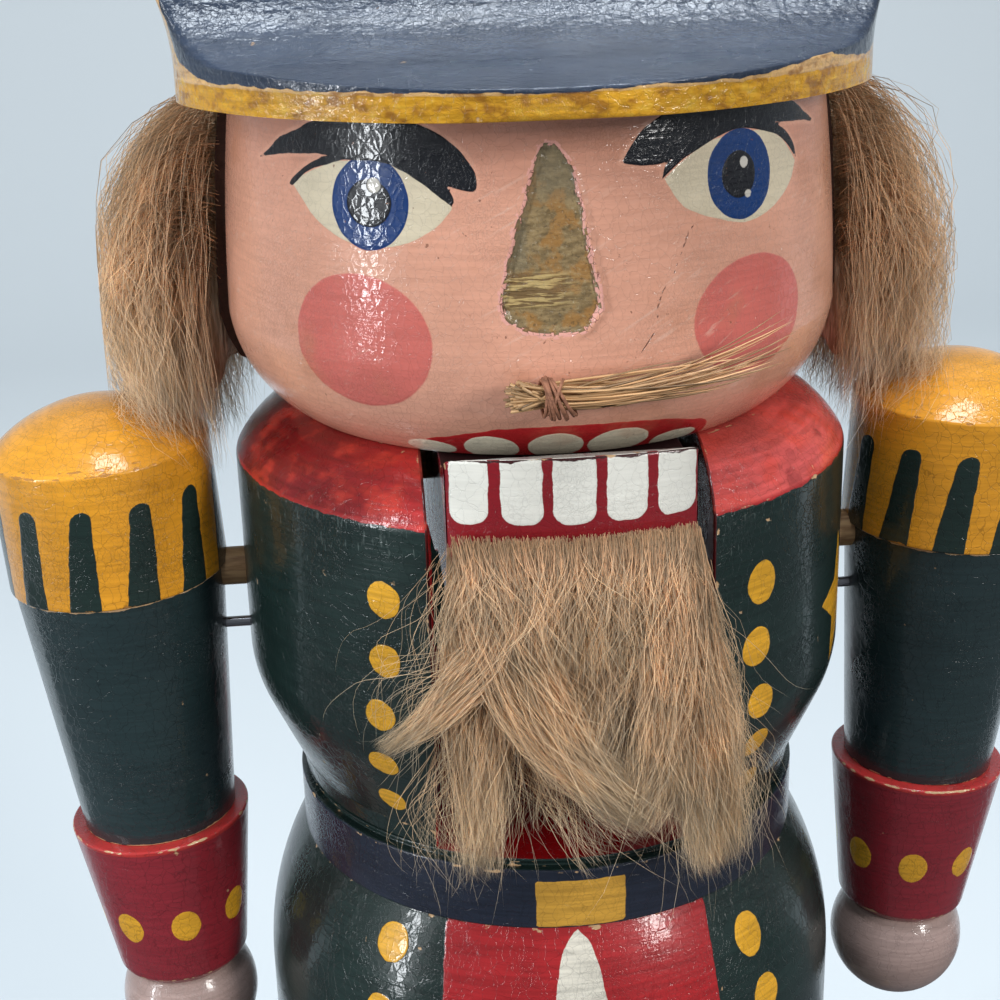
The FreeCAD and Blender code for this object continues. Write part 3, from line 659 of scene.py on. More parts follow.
# The head is a turned barrel with a wide rounded lower edge, glued on over the slot on two dowels.
# The face is painted on, and the nose has come off, which leaves its seat bare with a rim of broken paint.
head_x = -0.8
face_radius = 36.8
head_corners = (
    (26.0, 0.0, 0.0, 0.0), (30.0, 0.0, 0.5, 0.0), (37.6, 12.0, 0.0, 1.7), (35.6, 39.0, 0.5, 0.4),
    (33.0, 39.0, 0.0, 0.0),
)


def face_line(*strokes):
    """A painted outline from strokes of (degrees from the front, millimetres above the neck), laid flat."""
    flat = brushed(*strokes)
    return np.stack([np.radians(flat[:, 0]) * face_radius, flat[:, 1]], axis=-1)


eye_white_right = face_line(
    [(-50.5, 30.6), (-48.6, 31.5), (-43.8, 32.7), (-39.4, 33.6), (-29.1, 33.6), (-25.9, 32.7),
     (-22.4, 31.5), (-18.5, 29.3)],
    [(-18.5, 29.3), (-20.8, 27.6), (-24.2, 26.1), (-27.8, 25.2), (-33.0, 24.8), (-38.4, 25.2),
     (-44.9, 27.3), (-50.5, 30.6)])
eye_white_left = face_line(
    [(16.7, 31.3), (19.8, 32.8), (23.8, 34.1), (28.2, 34.9), (37.8, 35.0), (43.5, 33.8), (48.1, 30.9)],
    [(48.1, 30.9), (46.0, 28.9), (42.5, 27.3), (38.0, 26.1), (31.8, 25.7), (23.3, 27.3), (19.5, 28.7),
     (16.7, 31.3)])
brow_right = face_line(
    [(-61.3, 32.7), (-57.5, 34.0), (-54.4, 35.3), (-48.9, 36.6), (-45.9, 37.4), (-35.0, 38.6),
     (-24.1, 37.6), (-18.1, 35.5), (-15.1, 33.2), (-14.5, 31.8)],
    [(-14.5, 31.8), (-15.0, 31.0), (-17.3, 31.1), (-19.5, 31.5)],
    [(-19.5, 31.5), (-18.4, 30.2), (-18.6, 29.3)],
    [(-18.6, 29.3), (-20.7, 30.3), (-24.1, 31.8), (-27.7, 33.0), (-31.0, 33.7), (-38.0, 33.7),
     (-41.5, 33.2), (-46.2, 32.3), (-50.6, 30.4)],
    [(-50.6, 30.4), (-51.3, 30.7), (-48.7, 32.1), (-45.0, 33.4), (-41.6, 34.1)],
    [(-41.6, 34.1), (-48.7, 33.9), (-54.3, 33.5), (-61.3, 32.7)])
brow_left = face_line(
    [(9.2, 33.3), (10.8, 34.8), (12.7, 36.2), (15.5, 37.4), (20.0, 38.4), (32.0, 38.9), (46.1, 37.8),
     (53.5, 35.7), (57.3, 34.4)],
    [(57.3, 34.4), (51.1, 35.0), (47.2, 35.2), (42.3, 35.5)],
    [(42.3, 35.5), (45.3, 34.4), (47.7, 32.8), (48.5, 31.1)],
    [(48.5, 31.1), (46.0, 32.7), (43.0, 34.0), (37.5, 35.1), (32.0, 35.5), (27.1, 34.9), (23.8, 34.1),
     (19.8, 32.9), (16.3, 31.3)],
    [(16.3, 31.3), (16.9, 32.6), (18.3, 33.3)],
    [(18.3, 33.3), (16.1, 32.9), (12.5, 32.9), (9.2, 33.3)])
seat_line = face_line(
    [(-2.0, 35.6), (-4.0, 35.5), (-4.5, 34.6), (-5.9, 32.1), (-6.8, 29.6), (-8.5, 26.5), (-9.4, 24.0),
     (-10.2, 21.8), (-10.8, 19.7), (-10.7, 18.5), (-9.6, 17.4), (-7.2, 16.5), (-4.0, 16.0), (-0.8, 16.0),
     (2.5, 16.2), (3.8, 17.0), (5.3, 18.2), (5.2, 19.3), (4.8, 21.5), (3.9, 24.1), (3.3, 26.2), (2.6, 28.8),
     (1.9, 30.9), (1.1, 32.9), (-0.4, 34.4), (-2.0, 35.6)])
lip_line = face_line(
    [(-30.5, -3.0), (-29.5, 1.0), (-27.0, 2.7), (-19.9, 3.7), (-12.2, 4.7), (-5.0, 5.0), (2.2, 5.0),
     (9.6, 4.9), (17.7, 4.5), (24.9, 3.7), (30.7, 2.3), (35.5, -3.0)],
    [(35.5, -3.0), (-30.5, -3.0)])
crack_line = np.array(
    [(25.4, 28.6), (21.2, 25.7), (18.2, 21.7), (15.3, 18.7), (14.4, 15.5), (11.7, 13.0), (8.2, 12.1)])
rouge_rows = ((-36.2, 14.3, 8.8, 7.5), (34.8, 15.4, 8.4, 6.6))
iris_rows = ((-33.6, 29.4, 4.75, 4.95), (32.5, 30.8, 4.8, 4.8))
pupil_rows = ((-33.6, 29.4, 2.75, 2.5), (32.0, 30.8, 2.5, 2.5))
glint_rows = ((-32.6, 31.3, 0.85, 0.8), (33.3, 32.0, 0.6, 0.6), (33.9, 28.6, 0.5, 0.45))
tooth_rows = (
    (-27.4, 1.25, 3.4, 1.25), (-14.6, 1.5, 3.5, 2.1), (-1.9, 1.75, 3.5, 2.2), (10.8, 1.75, 4.0, 2.2),
    (24.0, 1.0, 3.5, 1.3))


def all_ovals(across, height, rows):
    """Ovals from rows of (degrees, height, half width, half height), joined."""
    joined = np.full(across.shape, unpainted)
    for at, level, half_width, half_height in rows:
        middle = math.radians(at) * face_radius
        joined = np.maximum(joined, oval(across, height, middle, level, half_width, half_height))
    return joined


def ripples(x, y, size, seed):
    """Smooth uneven numbers between about -1 and 1: a sum of eight sine waves in set directions."""
    rng = np.random.default_rng(seed)
    total = 0.0
    waves = zip(rng.uniform(0, math.pi, 8), rng.uniform(0.6, 1.7, 8), rng.uniform(0, 6.28, 8))
    for direction, pace, phase in waves:
        along = x * math.cos(direction) + y * math.sin(direction)
        total = total + np.sin(along * pace * 6.28 / size + phase)
    return total / 4.0


def face():
    """The barrel, with the nose's seat pressed in and the broken paint raised round it."""
    radius, height, edge = outline(head_corners, 0.38)
    around = np.concatenate([np.arange(-62, 62, 0.45), np.arange(62, 298, 1.6)])
    across, level = np.meshgrid(np.radians(signed(around)) * face_radius, height)
    seat = inside(across, level, seat_line)
    rough = ripples(across, level, 1.1, 5)
    on_right = np.clip(0.35 + across / 4.0, 0.25, 1.0)
    rim = 0.34 * np.exp(-((seat + 0.12) / 0.30) ** 2) * np.clip(0.9 + 0.5 * rough, 0.1, 1.5) * on_right
    sunk = 0.42 * np.clip((seat - 0.05 + 0.12 * rough) / 0.35, 0, 1)
    angle = np.radians(around)[None, :]
    r = radius[:, None] + rim - sunk
    at = np.stack([head_x + r * np.sin(angle), -r * np.cos(angle), neck_z + level], axis=-1)
    crack = np.stack([np.radians(crack_line[:, 0]) * face_radius, crack_line[:, 1]], axis=-1)
    return {
        "at": at, "round": True, "ends": True,
        "edge": edge[:, None] + 0 * across,
        "seat": seat,
        "white": np.maximum(inside(across, level, eye_white_right), inside(across, level, eye_white_left)),
        "iris": all_ovals(across, level, iris_rows),
        "pupil": all_ovals(across, level, pupil_rows),
        "glint": all_ovals(across, level, glint_rows),
        "brow": np.maximum(inside(across, level, brow_right), inside(across, level, brow_left)),
        "rouge": all_ovals(across, level, rouge_rows),
        "lip": inside(across, level, lip_line),
        "tooth": all_ovals(across, level, tooth_rows),
        "crack": 0.05 - beside_line(across + 0.25 * ripples(across, level, 2.5, 9), level, crack),
    }


def bare_seat(tree, skin, height):
    """The seat's bare wood with old glue, its rim of broken paint, the crack beside the nose and scuffs.

    The forehead also gets painted shade under the hat's brim.
    """
    slanted = given(tree, "VectorRotate", {"Vector": on_object(tree), "Angle": 0.5}, rotation_type="Y_AXIS")
    drawn_out = given(tree, "VectorMath", {0: slanted, 1: (0.1, 0.6, 1.6)}, operation="MULTIPLY")
    scuff = given(tree, "TexNoise", {"Vector": drawn_out, "Scale": 0.9, "Detail": 5.0})
    patch = noise(tree, 0.07, 2.0)
    drawn = calc("MAXIMUM", field_of(tree, "brow"), field_of(tree, "white"))
    clear = spread(drawn, -0.6, -0.2, 1.0, 0.0)
    pale = spread(scuff, 0.58, 0.72, 0.0, 0.4) * spread(patch, 0.42, 0.6) * clear
    skin = tinted(pale, skin, colour(238, 200, 180))
    dirt = spread(noise(tree, 1.4, 2.0), 0.72, 0.76, 0.0, 0.7) * spread(patch, 0.45, 0.6)
    skin = tinted(dirt, skin, colour(120, 76, 56))
    seat = field_of(tree, "seat")
    level = along_axis(tree, 2)
    # Painted shade: the skin darkens towards the top, under the hat's brim.
    brim_painted_shade = spread(level, 224.0, 236.0, 0.0, 0.5) * clear
    skin = tinted(brim_painted_shade, skin, colour(186, 122, 100))
    grime = spread(noise(tree, 0.13, 5.0), 0.52, 0.72, 0.0, 0.4) * clear
    skin = tinted(grime, skin, colour(196, 132, 100))
    grain = noise(tree, 1.5, 6.0, (0.45, 1.0, 1.1))
    glue = noise(tree, 0.33, 5.0)
    ridge = noise(tree, 1.35, 3.0, (0.28, 1.0, 2.4))
    aside = along_axis(tree, 0)
    fine = noise(tree, 2.6, 3.0)
    wood = tinted(spread(grain, 0.3, 0.7), colour(120, 100, 68), colour(160, 136, 96))
    wood = tinted(spread(glue, 0.50, 0.60, 0.0, 0.8), wood, colour(166, 120, 64))
    wood = tinted(spread(fine, 0.55, 0.75, 0.0, 0.5), wood, colour(178, 160, 122))
    wood = tinted(spread(fine, 0.45, 0.28, 0.0, 0.6), wood, colour(84, 72, 50))
    high_left = calc("ADD", spread(level, 226.0, 229.0), spread(aside, -4.6, -5.6), clamp=True)
    high_left = high_left * spread(level, 219.8, 220.6)
    wood = tinted(high_left * 0.45, wood, colour(124, 118, 98))
    torn = spread(level, 216.0, 216.6) * spread(level, 219.6, 220.2, 1.0, 0.0)
    torn = torn * spread(aside, 0.8, -3.0, 0.1, 1.0)
    ridges = tinted(spread(ridge, 0.47, 0.56), colour(118, 92, 58), colour(204, 176, 118))
    wood = tinted(torn * 0.85, wood, ridges)
    chips = {"Vector": on_object(tree), "Scale": 1.5}
    chance = given(tree, "SeparateXYZ", {0: given(tree, "TexVoronoi", chips, "Color")})
    chipped = seat + (chance - 0.5) * 0.5 - spread(aside, -1.0, 1.5, 0.0, 0.25)
    skin = tinted(spread(chipped, -0.42, -0.30) * 0.8, skin, colour(236, 172, 160))
    gap = given(tree, "TexVoronoi", chips, "Distance", feature="DISTANCE_TO_EDGE")
    dark_gap = spread(gap, 0.02, 0.05, 1.0, 0.0) * spread(seat, -0.35, -0.1)
    dark_gap = dark_gap * spread(glue, 0.42, 0.56, 0.15, 0.9)
    skin = tinted(dark_gap, skin, colour(110, 66, 54))
    bare = spread(chipped, -0.02, 0.05)
    skin = tinted(bare, skin, wood)
    shadow = bare * spread(chipped, 0.05, 0.3, 0.6, 0.0) * spread(fine, 0.4, 0.58, 0.3, 1.0)
    skin = tinted(shadow, skin, colour(66, 50, 34))
    line = spread(field_of(tree, "crack"), -0.03, 0.03)
    skin = tinted(line, skin, colour(110, 70, 52))
    woody = grain * 0.12 + torn * (ridge * 0.35)
    return skin, height - line * 0.08 + bare * woody - bare * 0.12


face_finish = paint("skin_paint", (226, 165, 139), (
    ("rouge", (216, 114, 103), 0.1, 0.12),
    ("lip", (194, 44, 46), 0.15, 0.06),
    # The upper teeth's cream is lifted near white: painted light against the shade under the head.
    ("tooth", (250, 240, 212), 0.12, 0.05),
    ("white", (220, 206, 178), 0.1, 0.05),
    ("iris", (12, 54, 112), 0.1, 0.05),
    ("pupil", (22, 22, 28), 0.08, 0.05),
    ("glint", (205, 200, 190), 0.08, 0.08),
    ("brow", (13, 16, 24), 0.1, 0.05),
), roughness=0.27, cell=0.95, crack=0.035, crack_dark=0.13, streak=0.06, cloud=0.09, bared=(190, 128, 96),
    wear=0.3, relief=0.055, gloss=0.62, extra=bare_seat)
head = piece("turned_head", face_finish, "figure", face())
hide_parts("head")


# The lever is one board: the jaw block in front, the arm over its pin, and the coat's tail as the handle.
# Its edges are sanded round, the front is painted as the lower jaw, and the tail as the coat.
# The board's top and sides under the head are painted near black and dull: painted shade in the gap under the
# head.
board_x = -0.6
board_half = 14.0
jaw_low = 181.0
slope_end = -31.0


def board():
    """The board's side view, carried across it. Near each side the outline is drawn in to round the edges."""
    def upper_side(y):
        """The lip: a flatter strip in front, then down and back."""
        return np.interp(y, (-39.0, -36.5, -31.0), (200.1, 199.7, 197.2))

    from_side = np.array([0.0, 0.03, 0.15, 0.4])
    drawn_in = np.array([0.6, 0.35, 0.12, 0.02])
    across = np.concatenate(
        [from_side - board_half, np.linspace(-13.2, 13.2, 67), (board_half - from_side)[::-1]])
    inset = np.concatenate([drawn_in, np.zeros(67), drawn_in[::-1]])
    front_y = -np.sqrt(39.0 ** 2 - (board_x + across) ** 2)
    lip_z = upper_side(front_y)
    rise = np.linspace(0, 1, 42)[None, :]
    front = np.broadcast_arrays(front_y[:, None], jaw_low + rise * (lip_z - jaw_low)[:, None])
    front = np.stack(front, axis=-1)
    t = np.linspace(0, 1, 14)[None, 1:]
    slope_y = front_y[:, None] + t * (slope_end - front_y)[:, None]
    slope = np.stack([slope_y, upper_side(slope_y)], axis=-1)
    hidden = np.array([
        (-23.5, 197.2), (-16.0, 197.2), (-8.0, 195.9), (6.0, 193.5), (20.0, 189.2), (30.0, 186.1),
        (36.5, 184.1), (40.0, 182.9), (43.5, 181.3), (46.0, 178.9), (47.7, 175.5), (48.5, 171.0),
        (48.4, 160.0), (48.0, 148.0), (47.4, 136.0), (46.8, 124.0), (46.3, 112.0), (46.0, 102.5),
        (45.6, 100.6), (44.6, 100.0), (41.4, 100.0), (40.4, 100.4), (40.0, 101.4), (40.0, 112.0),
        (40.0, 124.0), (40.0, 136.0), (40.0, 148.0), (40.0, 158.0), (40.0, 166.0), (39.6, 167.2),
        (38.4, 168.0), (24.0, 171.4), (6.0, 175.5), (-8.0, 177.9), (-16.0, 181.0), (-28.0, 181.0)])
    rest = np.broadcast_to(hidden[None], (len(across), *hidden.shape))
    loop = np.concatenate([front, slope, rest], axis=1)
    ahead_way = np.roll(loop, -1, axis=1) - np.roll(loop, 1, axis=1)
    ahead_way = ahead_way / np.linalg.norm(ahead_way, axis=-1, keepdims=True)
    inward = np.stack([ahead_way[..., 1], -ahead_way[..., 0]], axis=-1)
    loop = loop + inset[:, None, None] * inward
    y, z = loop[..., 0], loop[..., 1]
    flare = np.clip((141.0 - z) / 41.0, 0, 1) * 4.0 / board_half
    x = board_x + across[:, None] * (1 + flare)
    at = np.stack([x, y, z], axis=-1)[:, ::-1]
    arc = np.degrees(np.arctan2(x, -y))
    teeth = np.full(x.shape, unpainted)
    for low, high in ((-21.3, -14.9), (-12.9, -6.1), (-4.5, 2.4), (4.2, 11.0), (12.8, 19.6)):
        half_tooth = math.radians(high - low) / 2 * 39
        side = np.abs(np.radians(arc - (low + high) / 2) * 39) - half_tooth
        drop = 193.5 - z
        corner = np.hypot(np.clip(side + 1.6, 0, None), np.clip(drop + 0.6, 0, None)) - 1.6
        tooth = -np.maximum(np.maximum(side, drop - 1.0), corner)
        teeth = np.maximum(teeth, np.where(y < -36.0, tooth, unpainted))
    number = np.arange(x.shape[1])[None, :]
    in_front_part = number < rise.size
    on_slope = (number >= rise.size) & (number < rise.size + t.size)
    silver = np.where(on_slope, -36.2 - y, unpainted)
    rim = np.where(in_front_part, z - (lip_z[:, None] - 0.28), unpainted)
    tail = np.where(y > 34.0, 2.0, unpainted)
    trim = np.where(y > 39.0, np.abs(across[:, None] + 0 * z) - 12.2, unpainted)
    # Painted shade: the hidden top and sides under the head are painted near black and dull.
    hidden_side = (y > front_y[:, None] + 0.35) & (y < 0.0) & (z > 196.0) & (np.abs(across)[:, None] < 13.9)
    upper = np.where(hidden_side & (silver < 0), 1.0, -1.0)
    from_lip = np.where(y < -30, np.abs(z - lip_z[:, None]), 50.0)
    edge = np.minimum(board_half - np.abs(across)[:, None], from_lip)
    painted = {
        "tooth": teeth, "silver": silver, "rim": rim, "tail": tail, "trim": trim, "upper": upper,
        "edge": edge}
    skin = {"at": at, "round": True, "lids": True}
    for field, values in painted.items():
        skin[field] = values[:, ::-1]
    return skin


jaw_finish = paint("jaw_paint", (138, 30, 38), (
    ("tail", coat_green, 0.0, 0.05),
    ("trim", coat_red, 0.15, 0.05),
    ("tooth", (238, 236, 226), 0.22, 0.05),
    ("rim", (62, 26, 26), 0.45, 0.06),
    ("silver", (206, 206, 204), 0.15, 0.06),
    # The board's top under the head: painted shade.
    ("upper", (46, 14, 16), 0.1, 0.05),
), roughness=0.22, crack_dark=0.12, streak=0.05, gloss=0.5, dull="upper")
jaw = piece("lever_board", jaw_finish, "jaw", board())
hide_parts("jaw_lever")


# The beard is a strip of long fur glued to the jaw under the teeth. It hangs over the slot, and its hair has
# parted into locks: one swept out to the figure's right, one on each side, and thin hair in the middle.
def through(points, count):
    """Points spaced evenly along a smooth curve through a few given ones."""
    line = np.vstack([curved(points, 8), points[-1]])
    along = np.concatenate([[0], np.cumsum(np.linalg.norm(np.diff(line, axis=0), axis=1))])
    wanted = np.linspace(0, along[-1], count)
    return np.stack([np.interp(wanted, along, line[:, k]) for k in range(line.shape[1])], axis=-1)


def lock(guide, count, root_half, tip_half, depth_half, rng, curl=0.5, clump=0.6, late=0.15, stray=0.05,
         points=11):
    """Hairs that follow a guide curve in (across, height, depth).

    A hair starts up to a share late, ends at its own length, and runs beside the guide at an offset that is
    even at the root and bunched about some gathering lines at the tip. Sine waves shared by a gathering bend
    it, shorter ones of its own ruffle it, and a few hairs stray away from the rest along a parabola.
    """
    spine = through(guide, 60)
    share = np.linspace(0, 1, points)[None, :]
    start = rng.uniform(0, late, (count, 1))
    end = np.clip(0.62 + 0.44 * rng.beta(3.0, 1.2, (count, 1)), 0, 1.05)
    spot = np.clip(start + share * (end - start), 0, 1) * 59
    low = np.clip(spot.astype(int), 0, 58)
    path = spine[low] + (spine[low + 1] - spine[low]) * (spot - low)[..., None]
    way = spine[low + 1] - spine[low]
    way = way / np.linalg.norm(way, axis=-1, keepdims=True)
    side = np.stack([-way[..., 1], way[..., 0], 0 * way[..., 0]], axis=-1)
    side /= np.linalg.norm(side, axis=-1, keepdims=True) + 1e-9
    side = side + (np.array([1.0, 0.0, 0.0]) - side) * (np.clip(1 - 1.8 * share, 0, 1) ** 0.7)[..., None]
    gatherings = max(3, count // 26)
    middles = np.clip(rng.normal(0, 0.55, (gatherings, 2)), -1.1, 1.1)
    own = rng.uniform(-1, 1, (count, 2))
    own[:, 1] = np.clip(rng.normal(0, 0.6, count), -1.2, 1.2)
    nearest = np.argmin(((own[:, None, :] - middles[None]) ** 2 * (1.0, 0.3)).sum(axis=-1), axis=1)
    loose = own * 0.75 + rng.normal(0, 0.22, (count, 2))
    settled = loose * (1 - clump) + middles[nearest] * clump
    ease = (share ** 1.3)[..., None]
    offset = own[:, None, :] * (1 - ease) + settled[:, None, :] * ease
    half = root_half + (tip_half - root_half) * share ** 0.9
    path = path + side * (offset[..., 0] * half)[..., None]
    path[..., 2] += offset[..., 1] * depth_half * (0.4 + 0.6 * np.sin(math.pi * np.clip(share * 1.05, 0, 1)))
    length = np.linalg.norm(np.diff(spine, axis=0), axis=1).sum()
    each = np.arange(count)
    waves = (
        (nearest, 0.8, 0.018, 0.032), (nearest * 7 + each % 5, 0.45, 0.03, 0.05),
        (each, 0.75, 0.02, 0.045), (each, 0.16, 0.05, 0.08))
    for group, size, low_pace, high_pace in waves:
        pace = rng.uniform(low_pace, high_pace, group.max() + 1)[group][:, None]
        phases = rng.uniform(0, math.tau, (group.max() + 1, 2))[group]
        travel = share * length * math.tau * pace
        grow = curl * size * np.clip(share * 2.2, 0, 1)
        path += side * (grow * (np.sin(travel + phases[:, :1]) - np.sin(phases[:, :1])))[..., None]
        path[..., 2] += 0.8 * grow * np.sin(travel + phases[:, 1:])
    lost = (rng.uniform(size=count) < stray)[:, None]
    drift = rng.normal(0, 1, (count, 3)) * (0.10, 0.08, 0.07) * length
    path += (lost * share ** 2)[..., None] * drift[:, None, :]
    return path


def fibres(name, material, body, paths, thick, rng):
    """Three-sided hairs or straws along paths, which are a grid (hair, point, xyz).

    A ring is centre + radius * (cos a, sin a), a in thirds of a turn. They are full at the root and end in a
    point, and carry how far along they are and a tone of their own.
    """
    count, points = paths.shape[:2]
    way = np.gradient(paths, axis=1)
    way /= np.linalg.norm(way, axis=-1, keepdims=True) + 1e-9
    first = np.cross(way, rng.normal(size=(count, 1, 3)))
    first /= np.linalg.norm(first, axis=-1, keepdims=True) + 1e-9
    second = np.cross(way, first)
    share = np.linspace(0, 1, points)
    radius = thick * (1 - 0.7 * share ** 1.5)
    radius = radius[None, :-1, None, None] * rng.uniform(0.7, 1.3, (count, 1, 1, 1))
    turn = (np.arange(3) * math.tau / 3)[None, None, :, None]
    ring = paths[:, :-1, None] + radius * (
        np.cos(turn) * first[:, :-1, None] + np.sin(turn) * second[:, :-1, None])
    rings = points - 1
    each = rings * 3 + 1
    co = np.concatenate([ring.reshape(count, rings * 3, 3), paths[:, -1:]], axis=1)
    k, j = np.meshgrid(np.arange(rings - 1), np.arange(3), indexing="ij")
    beside = (j + 1) % 3
    quads = np.stack(
        [k * 3 + j, k * 3 + beside, (k + 1) * 3 + beside, (k + 1) * 3 + j], axis=-1).reshape(-1, 4)
    tip = 3 * (rings - 1) + np.array([[0, 1], [1, 2], [2, 0]])
    tips = np.concatenate([tip, np.full((3, 1), each - 1)], axis=1)
    triangles = np.vstack([tips, [[2, 1, 0]]])
    base = (np.arange(count) * each)[:, None, None]
    quads = (base + quads[None]).reshape(-1, 4)
    triangles = (base + triangles[None]).reshape(-1, 3)
    along = np.tile(np.concatenate([np.repeat(share[:-1], 3), [1.0]]), count)
    tone = np.repeat(rng.uniform(0, 1, count), each)
    made = mesh_of(name, material, co.reshape(-1, 3), [quads, triangles], {"along": along, "tone": tone})
    if body:
        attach(made, body)
    return made


def fur_paint(name, root, middle, tip, roughness, through_light=0.35, darkest=0.62, range_up=0.62):
    """Hair, darker at the root and paler at the tip, each with its own tone, that lets some light through."""
    material, tree, shader = new_finish(name)
    along = field_of(tree, "along")
    tone = field_of(tree, "tone")
    hair_tone = tinted(spread(along, 0.0, 0.3), colour(*root), colour(*middle))
    hair_tone = tinted(spread(along, 0.35, 1.0), hair_tone, colour(*tip))
    patch = noise(tree, 0.16, 2.0)
    level = darkest + tone * range_up + (patch - 0.5) * 0.45
    grey = given(tree, "CombineColor", {0: level, 1: level, 2: level})
    hair_tone = tinted(1.0, hair_tone, grey, "MULTIPLY")
    fed(shader, {"Base Color": hair_tone, "Roughness": roughness, "Specular IOR Level": 0.5})
    lit_through = given(tree, "BsdfTranslucent", {"Color": hair_tone})
    mixed = given(tree, "MixShader", {0: through_light, 1: Flow(shader.outputs[0]), 2: lit_through})
    fed(tree.nodes["Material Output"], {0: mixed})
    return material


chest_radius = 39.0


def in_front(flat):
    """From (across, height, depth before the chest) to a place: y = -sqrt((chest + depth)^2 - x^2)."""
    radius = chest_radius + 0.2 + np.clip(flat[..., 2], 0.0, 9.0)
    x = np.clip(flat[..., 0], -34, 34)
    return np.stack([x, -np.sqrt(radius ** 2 - x ** 2), flat[..., 1]], axis=-1)


fur_finish = fur_paint("fur", (224, 192, 154), (255, 233, 202), (255, 241, 217), 0.40, 0.6)
beard_rng = np.random.default_rng(21)
beard_locks = (
    # guide in (across, height, depth), hairs, half width at root and tip, half depth, curl, gathering
    (((-0.8, 191.6, 0.8), (-0.9, 188.5, 2.9), (-1.2, 183.0, 3.9), (-1.6, 175.0, 3.2)), 2600, 13.4, 12.2,
     0.9, 1.5, 0.4),
    (((-6.0, 191.4, 1.0), (-8.0, 186.0, 3.6), (-10.3, 179.5, 4.8), (-13.8, 175.2, 5.2), (-18.6, 169.4, 4.6),
      (-23.4, 164.0, 3.0)),
     520, 3.2, 0.4, 0.8, 0.5, 0.85),
    (((-8.5, 191.3, 1.0), (-10.6, 186.0, 3.4), (-8.2, 178.8, 4.6), (-3.8, 170.1, 4.6), (1.6, 162.3, 4.4),
      (7.6, 155.2, 3.2)),
     1250, 4.2, 1.8, 1.1, 0.9, 0.55),
    (((-11.8, 190.5, 0.6), (-12.3, 182.0, 2.2), (-12.1, 172.0, 2.6), (-12.1, 160.0, 2.6),
      (-12.4, 149.2, 2.2)),
     1000, 2.8, 1.9, 1.2, 0.9, 0.55),
    (((9.0, 191.4, 0.8), (10.0, 185.0, 3.4), (11.0, 176.0, 4.6), (13.0, 165.0, 4.6), (16.2, 147.5, 2.8)),
     2500, 4.3, 3.0, 1.5, 1.0, 0.5),
    (((7.0, 191.4, 0.8), (9.4, 184.0, 3.4), (9.8, 174.0, 4.6), (8.6, 166.0, 4.6), (7.0, 160.0, 4.0),
      (5.6, 155.0, 3.0)),
     1200, 3.8, 2.4, 1.3, 1.1, 0.5),
    (((1.5, 191.4, 0.5), (2.0, 183.0, 2.0), (2.0, 175.0, 2.6), (1.6, 168.0, 2.6), (1.5, 160.0, 2.2)),
     800, 7.0, 5.0, 0.9, 2.0, 0.3),
    (((-1.0, 180.0, 0.5), (-3.0, 172.0, 1.2), (-4.5, 164.0, 1.2), (-5.5, 154.5, 0.8)), 120, 8.0, 7.0, 0.6,
     1.8, 0.4),
    (((-8.0, 172.0, 0.6), (-6.0, 166.0, 1.2), (-3.5, 160.0, 1.2), (0.0, 154.0, 1.0), (3.0, 150.5, 0.8)),
     100, 4.5, 5.5, 0.5, 1.8, 0.3),
)
beard_paths = np.concatenate([
    in_front(lock(guide, count, root, tip, depth, beard_rng, curl, clump))
    for guide, count, root, tip, depth, curl, clump in beard_locks])
stray_locks = (
    (((-13.0, 190.5, 1.0), (-16.5, 185.0, 3.0), (-18.5, 178.0, 4.2), (-21.5, 170.0, 3.6)), 20, 2.0, 5.0,
     1.5),
    (((-9.0, 182.0, 4.0), (-14.0, 177.0, 5.0), (-18.5, 171.0, 4.8), (-23.0, 163.0, 3.4)), 30, 3.0, 4.0, 1.5),
    (((12.0, 190.5, 1.0), (13.4, 185.0, 3.0), (14.6, 176.0, 3.8), (17.0, 163.0, 3.2)), 45, 1.5, 2.4, 1.5),
    (((14.0, 174.0, 3.0), (17.0, 166.0, 4.0), (19.0, 158.0, 3.6), (20.0, 148.0, 3.0)), 60, 2.5, 2.8, 1.5),
    (((-14.0, 168.0, 2.6), (-15.5, 162.0, 3.0), (-15.0, 155.0, 3.0), (-14.0, 147.5, 2.6)), 60, 3.0, 4.0,
     1.5),
)
beard_strays = np.concatenate([
    in_front(lock(guide, count, root, tip, depth, beard_rng, curl=1.7, clump=0.1, stray=0.4, points=16))
    for guide, count, root, tip, depth in stray_locks])


def hang(made):
    """Bakes the fur's place into its mesh."""
    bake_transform(made)


order = beard_rng.permutation(len(beard_paths))
for number, chosen in enumerate(np.array_split(order, 4)):
    made = fibres("beard_fur_" + "abcd"[number], fur_finish, None, beard_paths[chosen], 0.036, beard_rng)
    hang(made)
    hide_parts("beard")
made = fibres("beard_strays", fur_finish, None, beard_strays, 0.030, beard_rng)
hang(made)


# The hair is a strip of the same fur, glued round the back of the head from temple to temple under the hat.
# Its hide shows beside the face, painted dark brown: painted shade for the gap between face and hair.
# The hair falls outwards over the shoulders.
face_profile = outline(head_corners, 1.0)


def beside_head(flat, hugging=False):
    """From (degrees from the front, height, depth off the head) to a place: r = head's radius there + depth.

    Hair hangs straight down from the barrel's side. Only the hide, which is glued on, hugs the curve below.
    """
    height = flat[..., 1]
    radius = np.interp(height - neck_z, face_profile[1], face_profile[0])
    radius = radius if hugging else np.where(height < neck_z + 12, 37.6, radius)
    radius = radius + 0.35 + np.clip(flat[..., 2], 0, 15.0)
    angle = np.radians(flat[..., 0])
    return np.stack([head_x + radius * np.sin(angle), -radius * np.cos(angle), height], axis=-1)


def over_shoulders(paths):
    """Hairs lie on the shoulder caps: the height is kept above a dome round each arm."""
    for side in (-1, 1):
        away = np.hypot(paths[..., 0] - side * 56.2, paths[..., 1])
        dome = 192.8 + 5.5 * np.clip(1 - (away / 14.0) ** 2, 0, 1) + 0.4
        over = away < 14.8
        held = dome + 0.05 * np.abs(paths[..., 2] - dome)
        paths[..., 2] = np.where(over & (paths[..., 2] < dome), held, paths[..., 2])
    return paths


